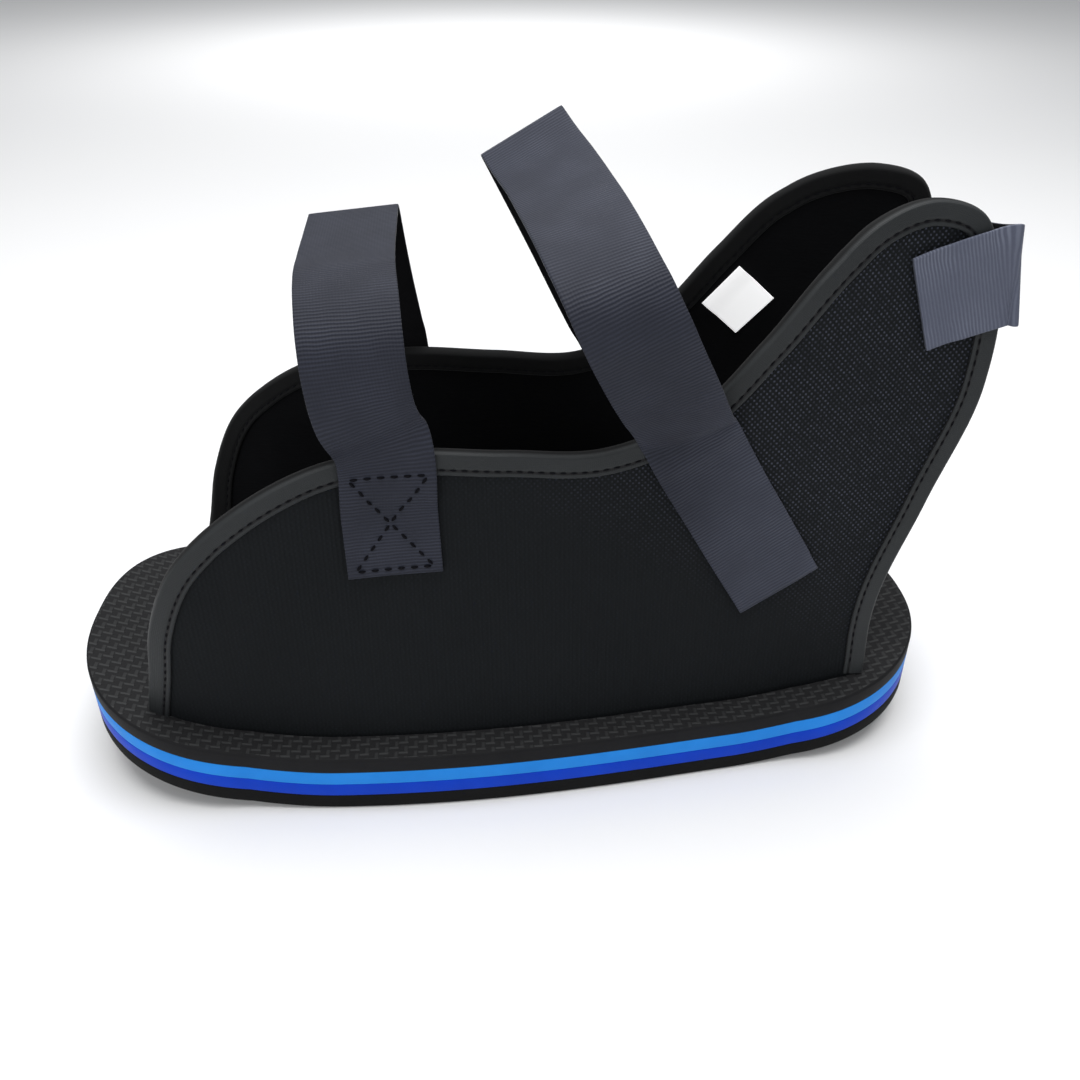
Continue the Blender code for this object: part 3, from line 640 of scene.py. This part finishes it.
def strap_line(table, across_way):
    """Running length, middle line, crosswise way and distance from the seat along a strap.

    The distance is stretched where the fold is near, so that the strap is free by the fold.
    Each half is a smooth curve up to the fold. At the fold the two meet in a small round bend:
    (1-t) squared of one side, 2t(1-t) of the fold and t squared of the other.
    """
    rows, ways, sides, fold = strap_rows(table, across_way)
    lines, turns, offs, signs = [], [], [], []
    for first, last in ((0, fold), (fold, len(rows) - 1)):
        part = rows[first:last + 1]
        steps = np.linalg.norm(np.diff(part, axis=0), axis=1)
        knots = np.concatenate([[0.0], np.cumsum(steps)])
        on_sling = knots[sides[first:last + 1] != 0]
        s = np.linspace(0, knots[-1], LINE_SAMPLES)
        lines.append(through(s, knots, part))
        turns.append(through(s, knots, ways[first:last + 1]))
        early = sides[first] != 0
        gap = knots[-1] - on_sling[-1] if early else on_sling[0]
        off = s - on_sling[-1] if early else on_sling[0] - s
        offs.append(off * max(1.0, STRAP_LEAVE / gap))
        signs.append(np.full(LINE_SAMPLES, sides[first] if early else sides[last]))
    line = np.concatenate([lines[0], lines[1][1:]])
    length = np.concatenate([[0.0], np.cumsum(np.linalg.norm(np.diff(line, axis=0), axis=1))])
    bend = length[499]
    middle = np.linspace(-1, 1, 25) * FOLD_REACH
    run = np.unique(np.concatenate([np.linspace(0, length[-1], STRAP_STEPS), bend + middle]))

    def at(values, s):
        return np.stack([np.interp(s, length, column) for column in values.T], axis=-1)

    spot = at(line, run)
    t = np.clip((run - bend + FOLD_REACH) / (2 * FOLD_REACH), 0, 1)[:, None]
    near = np.abs(run - bend) < FOLD_REACH
    ends = at(line, np.array([bend - FOLD_REACH, bend, bend + FOLD_REACH]))
    soft = (1 - t) ** 2 * ends[0] + 2 * t * (1 - t) * ends[1] + t ** 2 * ends[2]
    spot[near] = soft[near]
    across = at(np.concatenate([turns[0], turns[1][1:]]), run)
    off = np.interp(run, length, np.concatenate([offs[0], offs[1][1:]]))
    sign = np.where(run < bend, signs[0][0], signs[1][0])
    return run, spot, across, off, sign


def strap_middle(table, across_way):
    """Grid of a strap's middle points and its place on the cloth, laid on the wall at its ends."""
    run, spot, across, off, sign = strap_line(table, across_way)
    way = np.gradient(spot, run, axis=0)
    way = way / np.linalg.norm(way, axis=1, keepdims=True)
    across = across - way * np.sum(way * across, axis=1, keepdims=True)
    across = across / np.linalg.norm(across, axis=1, keepdims=True)
    share = np.sin(np.linspace(-1, 1, STRAP_COLUMNS + 1) * math.pi / 2) / 2
    grid = spot[:, None] + across[:, None] * (share * STRAP_WIDTH)[None, :, None]
    held = ease(1 - off / STRAP_LEAVE)[:, None, None]
    x = grid[..., 0]
    z = grid[..., 2]
    left, right = [on_wall(x, z, side, seat(x, z, side, STRAP_THICK)) for side in (-1, 1)]
    wall = np.where(sign[:, None, None] < 0, left, right)
    grid = held * wall + (1 - held) * grid
    cloth = np.stack(np.broadcast_arrays(run[:, None], (share * STRAP_WIDTH)[None]), axis=-1)
    return grid, cloth


def strip_solid(grid, thick, edge=0.45):
    """Two faces either side of a grid of middle points, thinner at the long edges, and a rim."""
    along = np.gradient(grid, axis=0)
    across = np.gradient(grid, axis=1)
    normal = np.cross(across, along)
    normal = normal / np.linalg.norm(normal, axis=-1, keepdims=True)
    share = np.linspace(-1, 1, grid.shape[1])
    full = edge + (1 - edge) * np.sqrt(1 - np.abs(share) ** 8)
    above = grid + normal * thick / 2 * full[None, :, None]
    below = grid - normal * thick / 2 * full[None, :, None]
    index = np.arange(grid[..., 0].size).reshape(grid.shape[:2])
    rim = np.concatenate([index[0], index[1:, -1], index[-1, -2::-1], index[-2::-1, 0]])
    faces = np.concatenate([quads(index), quads(index + index.size, flip=True),
                            quads(np.stack([rim, rim + index.size]))])
    return np.concatenate([above.reshape(-1, 3), below.reshape(-1, 3)]), faces, normal


def strap(name, table, across_way, node, inner_half):
    """A webbing strap from its table, and the grid that stitches are laid on.

    The half of its faces towards the foot, 0 or 1, is the black backing.
    """
    grid, cloth = strap_middle(table, across_way)
    points, faces, normal = strip_solid(grid, STRAP_THICK)
    both = np.concatenate([cloth.reshape(-1, 2), cloth.reshape(-1, 2)])
    count = (grid.shape[0] - 1) * (grid.shape[1] - 1)
    marks = np.zeros(len(faces))
    marks[inner_half * count:(inner_half + 1) * count] = 1
    piece = make_piece(name, points, faces, [node], both, marks)
    print(name, "length, mm:", round(float(cloth[-1, 0, 0]) * 1000))
    return piece, grid, normal, cloth


front = strap("webbing_front", FRONT_STRAP, (1.0, 0.0, 0.0), "front_strap", 1)
instep = strap("webbing_instep", INSTEP_STRAP, (1.0, 0.0, 0.0), "instep_strap", 1)
heel = strap("webbing_heel", HEEL_STRAP, (0.0, 0.0, 1.0), "heel_strap", 0)

# %% [markdown]
# ## The blank label
# A small white label is sewn on the inside of the far ear, turned like a diamond. It is plain.

# %% Label
LABEL_SIDE = 0.018
LABEL_THICK = 0.0004
LABEL_ALONG = 0.280
LABEL_UP = 0.745
LABEL_TURN = math.radians(-41)


def label_grid():
    """Square turned in side view and laid on the inner face of the right wall."""
    reach = np.linspace(-0.5, 0.5, 41) * LABEL_SIDE
    a, b = np.meshgrid(reach, reach, indexing="ij")
    x = LABEL_ALONG * SOLE_LENGTH + a * math.cos(LABEL_TURN) - b * math.sin(LABEL_TURN)
    z = SOLE_TOP + LABEL_UP * EAR_HEIGHT + a * math.sin(LABEL_TURN) + b * math.cos(LABEL_TURN)
    return on_wall(x, z, 1, -seat(x, z, 1, LABEL_THICK)), np.stack([a, b], axis=-1)


grid, cloth = label_grid()
points, faces, normal = strip_solid(grid, LABEL_THICK)
label = make_piece("white_label", points, faces, ["blank_label"],
                   np.concatenate([cloth.reshape(-1, 2)] * 2))

# %% [markdown]
# ## Stitches
# A lockstitch shows as a row of short dashes that dip into the cloth at both ends. Each dash here
# is a tapered tube of five rings, and a whole seam is one mesh made as one array. The seam's path
# gives for every dash where it lies, which way it runs and which way is out of the cloth.

# %% Stitches
STITCH_RINGS = 5
STITCH_ROUND = 6
SEAM_MARGIN = 0.004
TAPE_SEAM_POINTS = 900
BOX_SIDE_POINTS = 60
TAPE_THREAD_OUT = 0.00012
STRAP_THREAD_OUT = 0.00008
TAPE_STITCH = {"length": 0.0022, "gap": 0.0011, "thick": 0.00045}
BOX_STITCH = {"length": 0.0026, "gap": 0.0012, "thick": 0.0010}


def seam(path, outwards, length, gap, thick):
    """Dashes along a path: rings at a sine's radius about each dash's line, ends sunk."""
    steps = np.linalg.norm(np.diff(path, axis=0), axis=1)
    run = np.concatenate([[0.0], np.cumsum(steps)])
    count = int(run[-1] // (length + gap))
    starts = np.arange(count) * (run[-1] / count) + gap / 2
    share = np.linspace(0, 1, STITCH_RINGS)
    s = starts[:, None] + share[None] * length
    middle = np.stack([np.interp(s, run, column) for column in path.T], axis=-1)
    out = np.stack([np.interp(s, run, column) for column in outwards.T], axis=-1)
    out = out / np.linalg.norm(out, axis=-1, keepdims=True)
    way = np.gradient(middle, axis=1)
    way = way / np.linalg.norm(way, axis=-1, keepdims=True)
    aside = np.cross(way, out)
    arch = np.sin(math.pi * (0.12 + 0.76 * share))[None, :, None]
    middle = middle + out * (arch - 0.75) * thick
    turn = np.arange(STITCH_ROUND) / STITCH_ROUND * 2 * math.pi
    radius = (thick / 2 * arch)[..., None]
    points = middle[:, :, None] + radius * (aside[:, :, None] * np.cos(turn)[None, None, :, None]
                                            + out[:, :, None] * np.sin(turn)[None, None, :, None])
    index = np.arange(points[..., 0].size).reshape(points.shape[:3])
    index = np.concatenate([index, index[..., :1]], axis=2)
    a = index[:, :-1, :-1]
    b = index[:, 1:, :-1]
    c = index[:, 1:, 1:]
    d = index[:, :-1, 1:]
    faces = np.stack([a, b, c, d], axis=-1).reshape(-1, 4)
    caps = index[:, (0, -1), :-1].reshape(-1, STITCH_ROUND)
    ends = np.concatenate([caps[:, [0, 1, 2, 3]], caps[:, [3, 4, 5, 0]]])
    points = points.reshape(-1, 3)
    return points, np.concatenate([faces, ends]), points[:, :2], np.zeros(len(faces) + len(ends))


def tape_seam(side, face):
    """Path in the tape's groove, on its outer (+1) or inner (-1) face."""
    length = side_knots(side)[1][-1]
    run = np.linspace(SEAM_MARGIN, length - SEAM_MARGIN, TAPE_SEAM_POINTS)
    flat = side_outline(run, side, np.full(len(run), GROOVE_INSET))
    depth = face * (TAPE_SKIN - GROOVE_DEEP + TAPE_THREAD_OUT)
    path = on_wall(flat[:, 0], flat[:, 1], side, depth)
    return path, path - on_wall(flat[:, 0], flat[:, 1], side, 0)


parts = []
for side in (-1, 1):
    for face in (1, -1):
        path, outwards = tape_seam(side, face)
        parts.append(seam(path, outwards, **TAPE_STITCH))
points, faces, cloth, marks = join(parts)
tape_stitches = make_piece("tape_stitches", points, faces, weld=False)


def strap_seam(made, corners, face=-1):
    """Path on a strap through corners given as (along, across) in metres, and its way out."""
    _, grid, normal, cloth = made
    corners = np.array(corners, float)
    pieces = [np.linspace(*pair, BOX_SIDE_POINTS) for pair in zip(corners[:-1], corners[1:])]
    spots = np.concatenate(pieces)
    row = np.interp(spots[:, 0], cloth[:, 0, 0], np.arange(len(cloth)))
    column = np.interp(spots[:, 1], cloth[0, :, 1], np.arange(cloth.shape[1]))
    r = np.clip(row.astype(int), 0, grid.shape[0] - 2)
    c = np.clip(column.astype(int), 0, grid.shape[1] - 2)
    p = (row - r)[:, None]
    q = (column - c)[:, None]
    here = ((1 - p) * (1 - q) * grid[r, c] + p * (1 - q) * grid[r + 1, c]
            + (1 - p) * q * grid[r, c + 1] + p * q * grid[r + 1, c + 1])
    out = normal[r, c] * face
    return here + out * (STRAP_THICK / 2 + STRAP_THREAD_OUT), out


BOX_LOW = 0.0022
BOX_HIGH = 0.0330
BOX_SIDE = 0.0122
boxes = []
for made, at_start in ((front, True), (instep, False), (heel, False)):
    total = made[3][-1, 0, 0]
    low, high = (BOX_LOW, BOX_HIGH) if at_start else (total - BOX_HIGH, total - BOX_LOW)
    for corners in ([(low, -BOX_SIDE), (low, BOX_SIDE)], [(high, -BOX_SIDE), (high, BOX_SIDE)],
                    [(low, -BOX_SIDE), (high, BOX_SIDE)], [(low, BOX_SIDE), (high, -BOX_SIDE)]):
        for face in (1, -1):
            path, out = strap_seam(made, corners, face)
            boxes.append(seam(path, out, **BOX_STITCH))
points, faces, cloth, marks = join(boxes)
strap_stitches = make_piece("strap_stitches", points, faces, weld=False)

# %% [markdown]
# ## Writing shader maths as sums
# A weave is a product of two waves. Written as nodes by hand that is a long list, so one class
# wraps a socket: adding or multiplying two of them adds the Math node. Every other node comes
# from one method that takes its type, its settings and the values or links of its sockets.

# %% A class for shader sockets
class Wire:
    """A shader socket that can stand in a sum or a product."""

    tree = None

    def __init__(self, socket):
        self.socket = socket

    @classmethod
    def node(cls, kind, settings=None, sockets=None, out=0):
        """Any node: its type, its settings, the values or wires of its sockets, its output."""
        made = cls.tree.nodes.new("ShaderNode" + kind)
        for key, value in (settings or {}).items():
            setattr(made, key, value)
        for key, value in (sockets or {}).items():
            if isinstance(value, Wire):
                cls.tree.links.new(value.socket, made.inputs[key])
            else:
                made.inputs[key].default_value = value
        return cls(made.outputs[out])

    def math(self, operation, other=0.0, swapped=False):
        """One Math node of this wire and another wire or number."""
        pair = {0: other, 1: self} if swapped else {0: self, 1: other}
        return Wire.node("Math", {"operation": operation}, pair)

    def __add__(self, other):
        return self.math("ADD", other)

    def __sub__(self, other):
        return self.math("SUBTRACT", other)

    def __rsub__(self, other):
        return self.math("SUBTRACT", other, swapped=True)

    def __mul__(self, other):
        return self.math("MULTIPLY", other)

    __radd__ = __add__
    __rmul__ = __mul__


def wave(value, pitch):
    """Sine of a length, once round in every pitch metres."""
    return (value * (2 * math.pi / pitch)).math("SINE")


def mix(low, high, share):
    """Colour between two colours."""
    return Wire.node("Mix", {"data_type": "RGBA"}, {0: share, 6: low, 7: high}, 2)


def between(value, low, high, to_low=0.0, to_high=1.0):
    """Map Range: a value between low and high becomes one between the other two."""
    return Wire.node("MapRange", {"interpolation_type": "SMOOTHSTEP"},
                     {0: value, 1: low, 2: high, 3: to_low, 4: to_high})


def noise(coords, size, detail=2.0, rough=0.5):
    """Noise whose lumps are about size metres across."""
    return Wire.node("TexNoise", None, {"Vector": coords, "Scale": 1 / size, "Detail": detail,
                                        "Roughness": rough})


def begin(name):
    """A new material, and its shader node."""
    material = bpy.data.materials.new(name)
    material.use_nodes = True
    Wire.tree = material.node_tree
    return material, material.node_tree.nodes["Principled BSDF"]


def settle(shader, colour, roughness, height=None, **fixed):
    """Colour, roughness and bump height in metres on the shader, and its fixed sockets."""
    for key, value in (("Base Color", colour), ("Roughness", roughness)):
        if isinstance(value, Wire):
            Wire.tree.links.new(value.socket, shader.inputs[key])
        else:
            shader.inputs[key].default_value = value
    if height is not None:
        bump = Wire.node("Bump", None, {"Strength": 1.0, "Distance": 1.0, "Height": height})
        Wire.tree.links.new(bump.socket, shader.inputs["Normal"])
    for key, value in fixed.items():
        shader.inputs[key.replace("_", " ")].default_value = value


def cloth_place():
    """The two lengths of the cloth's own map, in metres."""
    place = Wire.node("UVMap", {"uv_map": "cloth"})
    split = Wire.node("SeparateXYZ", None, {0: place})
    return split, Wire(split.socket.node.outputs[1])


def object_place():
    """Object coordinates, and their three lengths."""
    coords = Wire.node("TexCoord", None, None, 3)
    split = Wire.node("SeparateXYZ", None, {0: coords})
    node = split.socket.node
    return coords, Wire(node.outputs[0]), Wire(node.outputs[1]), Wire(node.outputs[2])


# %% [markdown]
# ## Canvas and lining
# The outside is a coarse plain weave: threads pass over and under, so the tops of the loops stand
# in a staggered grid. That is the product of one wave along and one wave up. The light catches the
# tops on the ears, so there they carry a painted highlight, bluer and lighter. Lower down only
# upright yarns show. The lining inside is a smooth, deep black knit.

# %% Canvas material
CANVAS_PITCH = 0.0019
YARN_PITCH = 0.0014
LOOP_HEIGHT = 0.00010
YARN_HEIGHT = 0.00004
GRAIN_HEIGHT = 0.00007


def canvas_finish():
    """Staggered loops as bump, a painted highlight on their tops strongest on the ears, and upright
    yarns below them.
    """
    material, shader = begin("black_canvas")
    u, v = cloth_place()
    coords, x, y, z = object_place()
    patch = noise(coords, 0.030, 2.0)
    wobble = noise(coords, 0.0035, 1.0) * 0.0004
    loops = wave(u + wobble, CANVAS_PITCH) * wave(v + wobble, CANVAS_PITCH)
    yarns = wave(u + wobble, YARN_PITCH)
    fine = noise(coords, 0.0005, 1.0)
    uneven = between(noise(coords, 0.0022, 1.0), 0.35, 0.65, 0.35, 1.0)
    # Painted highlight: the loop tops are mixed towards a pale blue, most strongly on the ears,
    # where the light catches them.
    ear = between(z + 0.6 * x, 0.095, 0.165, 0.07, 1.0)
    tops = between(loops, 0.1, 1.0) * uneven * ear
    shade = mix((0.0030, 0.0040, 0.0050, 1), (0.0050, 0.0062, 0.0074, 1), patch + 0.25 * yarns)
    colour = mix(shade, (0.048, 0.053, 0.074, 1), tops)
    height = loops * ear * LOOP_HEIGHT + yarns * (1 - ear) * YARN_HEIGHT + fine * GRAIN_HEIGHT
    settle(shader, colour, 0.80 - 0.15 * tops, height, Specular_IOR_Level=0.16)
    return material


def lining_finish():
    """Deep black knit: fine lines and a soft grain."""
    material, shader = begin("black_lining")
    u, v = cloth_place()
    coords, x, y, z = object_place()
    grain = noise(coords, 0.0006, 2.0)
    height = wave(v, 0.0011) * 0.00002 + grain * 0.00004
    colour = mix((0.0015, 0.0016, 0.0020, 1), (0.0035, 0.0037, 0.0045, 1), noise(coords, 0.02))
    settle(shader, colour, 0.9, height, Specular_IOR_Level=0.1)
    return material


canvas.data.materials.append(canvas_finish())
canvas.data.materials.append(lining_finish())

# %% [markdown]
# ## Tape and webbing
# The tape is a satin weave, smooth along its length, and catches more light than the canvas. Its
# groove and its inner leg lie in shade in the photograph, so both are made blacker as painted
# shade. The webbing shows ribs straight across it, slightly wavy where the picks were beaten up
# unevenly, and a slate colour between grey and blue. Its rib tops carry a painted highlight, and it
# is painted paler at the heel and on the folds, where the light falls, and darker low down as
# painted shade. Its threads along the length break each rib into grains.

# %% Tape and webbing materials
RIB_PITCH = 0.00108
RIB_HEIGHT = 0.00006
WARP_HEIGHT = 0.000015
LEG_LENGTH = TAPE_WIDTH - CROWN_REACH


def tape_finish():
    """Satin tape: hair-fine lines, and painted shade in the groove under the thread and on the
    inner leg.
    """
    material, shader = begin("grey_tape")
    run, around = cloth_place()
    coords, x, y, z = object_place()
    lines = wave(around, 0.00055)
    picks = wave(run, 0.0006)
    tone = noise(coords, 0.018, 2.0)
    colour = mix((0.010, 0.0118, 0.0128, 1), (0.020, 0.0225, 0.0245, 1), tone)
    # Painted shade: the groove under the thread is mixed almost to black.
    off = (around - (TAPE_WIDTH - GROOVE_INSET)).math("ABSOLUTE")
    colour = mix((0.002, 0.002, 0.003, 1), colour, between(off, 0.0002, 0.0007))
    # Painted shade: the inner leg, which faces into the shoe, is mixed almost to black. It is also
    # made rougher.
    inside = between(around, LEG_LENGTH + 0.0012, LEG_LENGTH + 0.0028)
    colour = mix(colour, (0.0020, 0.0022, 0.0026, 1), inside)
    height = lines * 0.000012 + picks * 0.000010
    settle(shader, colour, 0.50 + 0.12 * tone + 0.35 * inside, height, Specular_IOR_Level=0.28,
           Sheen_Weight=0.04, Sheen_Roughness=0.4)
    return material


def webbing_finish():
    """Cross ribs about a millimetre apart, a painted highlight on the rib tops, and painted light
    that makes the webbing paler where it faces up or back.
    """
    material, shader = begin("slate_webbing")
    run, across = cloth_place()
    coords, x, y, z = object_place()
    wander = noise(coords, 0.006, 1.0) * 0.0006
    ribs = wave(run + wander, RIB_PITCH)
    grains = wave(across, 0.0009)
    tone = noise(coords, 0.025, 2.0)
    # Painted highlight: the rib tops are mixed towards a lighter slate.
    tops = between(ribs, -0.6, 1.0) * between(noise(coords, 0.012, 1.0), 0.3, 0.7, 0.4, 1.0)
    # The deep colour is the painted shade of the webbing low down. The pale colour is its painted
    # light at the heel and on the folds.
    deep = mix((0.0070, 0.0084, 0.0160, 1), (0.0150, 0.0175, 0.0310, 1), tops)
    pale = mix((0.072, 0.080, 0.115, 1), (0.125, 0.138, 0.185, 1), tops)
    # Painted light: these shares carry the webbing to its pale colour towards the heel, on the fold
    # tops and at the heel, where the light falls. A little random tone is added.
    lit_toward_heel = between(x, 0.045, 0.075, 0.0, 0.20)
    lit_on_folds = between(z, 0.165, 0.20, 0.0, 0.20)
    lit_at_heel = between(x, 0.085, 0.130, 0.0, 0.95)
    lit_share = lit_toward_heel + lit_on_folds + lit_at_heel + 0.10 * tone
    height = ribs * RIB_HEIGHT + grains * WARP_HEIGHT
    settle(shader, mix(deep, pale, lit_share), 0.64 - 0.1 * tops, height,
           Specular_IOR_Level=0.25, Sheen_Weight=0.04, Sheen_Roughness=0.5)
    return material


def backing_finish():
    """Black brushed backing of the webbing."""
    material, shader = begin("black_backing")
    coords, x, y, z = object_place()
    height = noise(coords, 0.0007, 2.0) * 0.00012
    settle(shader, (0.004, 0.004, 0.005, 1), 0.9, height, Specular_IOR_Level=0.15)
    return material


def thread_finish():
    """Black sewing thread with a slight gloss."""
    material, shader = begin("black_thread")
    coords, x, y, z = object_place()
    settle(shader, (0.0012, 0.0012, 0.0030, 1), 0.7, noise(coords, 0.0004) * 0.00003,
           Specular_IOR_Level=0.12)
    return material


tape_material = tape_finish()
webbing_material = webbing_finish()
backing_material = backing_finish()
thread_material = thread_finish()
for piece in tapes:
    piece.data.materials.append(tape_material)
for made in (front, instep, heel):
    made[0].data.materials.append(webbing_material)
    made[0].data.materials.append(backing_material)
tape_stitches.data.materials.append(thread_material)
strap_stitches.data.materials.append(thread_material)

# %% [markdown]
# ## Foam and rubber
# The footbed is embossed in the mould with a basket pattern: short bars one way and then the
# other, like bricks. Its cut side is smooth. The blue sheets are cut from block foam, so their
# sides show fine pores. The outsole is a dull black sheet with a slightly rough face.

# %% Foam and rubber materials
BAR_LONG = 0.0032
BAR_DEEP = 0.0024
BAR_HEIGHT = 0.00028
FINE_PORE = 0.0006


def basket(x, y):
    """Height of the basket pattern, 0 to 1: bars along in half the cells and across in the rest."""
    along = wave(x, 2 * BAR_LONG)
    aside = wave(y, 2 * BAR_DEEP)
    cell = between(along * aside, -0.15, 0.15)
    bar_along = between(wave(y + BAR_DEEP / 2, BAR_DEEP), -0.2, 0.7)
    bar_across = between(wave(x + BAR_LONG / 2, BAR_LONG), 0.1, 0.8)
    return cell * bar_along + (1 - cell) * bar_across * 0.55


def footbed_finish():
    """Embossed charcoal foam, with a painted highlight on the raised bars and painted shade in the
    hollows.
    """
    material, shader = begin("charcoal_footbed")
    coords, x, y, z = object_place()
    bars = basket(x, y)
    tone = noise(coords, 0.02, 2.0)
    # Painted highlight and shade: the low colour fills the hollows and the high colour the raised
    # bars.
    low = mix((0.008, 0.008, 0.009, 1), (0.012, 0.012, 0.013, 1), tone)
    high = mix((0.026, 0.027, 0.028, 1), (0.036, 0.037, 0.038, 1), tone)
    height = bars * BAR_HEIGHT + noise(coords, FINE_PORE) * 0.00005
    settle(shader, mix(low, high, bars), 0.80 - 0.12 * bars, height, Specular_IOR_Level=0.25)
    return material


def foam_finish(name, low, high, pore, roughness):
    """Cut foam: fine pores and a slow change of tone."""
    material, shader = begin(name)
    coords, x, y, z = object_place()
    tone = noise(coords, 0.012, 3.0)
    height = noise(coords, pore, 2.0, 0.7) * (pore * 0.10)
    settle(shader, mix(low, high, tone), roughness, height, Specular_IOR_Level=0.12)
    return material


side_material = foam_finish("black_foam_side", (0.006, 0.006, 0.007, 1), (0.011, 0.011, 0.012, 1),
                            FINE_PORE, 0.62)
sheets["footbed"].data.materials.append(side_material)
sheets["footbed"].data.materials.append(footbed_finish())
sheets["light"].data.materials.append(
    foam_finish("azure_foam", (0.010, 0.190, 0.62, 1), (0.020, 0.26, 0.78, 1), FINE_PORE, 0.48))
sheets["royal"].data.materials.append(
    foam_finish("royal_foam", (0.000, 0.034, 0.42, 1), (0.000, 0.052, 0.56, 1), FINE_PORE, 0.45))
sheets["outsole"].data.materials.append(
    foam_finish("black_outsole", (0.004, 0.004, 0.004, 1), (0.008, 0.008, 0.008, 1), 0.0012, 0.8))


def label_finish():
    """White satin label with a painted glow: it emits a little light of its own because it lies in
    the ear's shade.
    """
    material, shader = begin("white_label")
    u, v = cloth_place()
    # Painted light: the label glows a little, though it is no lamp.
    shader.inputs["Emission Color"].default_value = (1, 1, 1, 1)
    shader.inputs["Emission Strength"].default_value = 0.5
    settle(shader, (0.95, 0.95, 0.96, 1), 0.5, wave(v, 0.0004) * 0.000006)
    return material


label.data.materials.append(label_finish())

# %% [markdown]
# ## Floor and light
# The photograph was taken on plain white with a large soft light above, so the shoe has only a
# faint shadow close under it. A wide pale floor, an even pale world and two big area lights give
# that. Large lights also make the long soft gleam on the tape and on the folds of the webbing. A
# third light whitens the floor behind the shoe and leaves the far corners grey.

# %% Floor
floor_mesh = bpy.data.meshes.new("floor")
reach = 4.0
floor_mesh.from_pydata([(-reach, -reach, 0), (reach, -reach, 0), (reach, reach, 0),
                        (-reach, reach, 0)], [], [(0, 1, 2, 3)])
floor = bpy.data.objects.new("floor", floor_mesh)
bpy.context.scene.collection.objects.link(floor)
material, shader = begin("pale_floor")
coords, x, y, z = object_place()
settle(shader, mix((0.86, 0.86, 0.87, 1), (0.90, 0.90, 0.90, 1), noise(coords, 0.8)), 0.9)
floor.data.materials.append(material)

# %% Lights
def soft_light(name, place, aim, size, power):
    """A square area light at a place, turned towards its aim."""
    light = bpy.data.objects.new(name, bpy.data.lights.new(name, "AREA"))
    light.data.size = size
    light.data.energy = power
    light.location = place
    light.rotation_euler = (Vector(aim) - Vector(place)).to_track_quat("-Z", "Y").to_euler()
    bpy.context.scene.collection.objects.link(light)
    return light


soft_light("light_above", (0.05, 0.05, 1.25), (0, 0, 0.05), 1.2, 19.0)
soft_light("light_front", (-0.7, -1.3, 0.80), (0, 0, 0.08), 0.9, 7.0)
soft_light("light_behind", (0.05, 1.9, 0.9), (0.05, 2.2, 0), 0.8, 11.0)
world = bpy.data.worlds.new("pale_world")
world.use_nodes = True
world.node_tree.nodes["Background"].inputs["Color"].default_value = (0.96, 0.98, 1.0, 1)
world.node_tree.nodes["Background"].inputs["Strength"].default_value = 0.37
bpy.context.scene.world = world
bpy.context.scene.view_settings.view_transform = "Standard"

# %% [markdown]
# ## Update the scene

# %% Finish
bpy.context.view_layer.update()
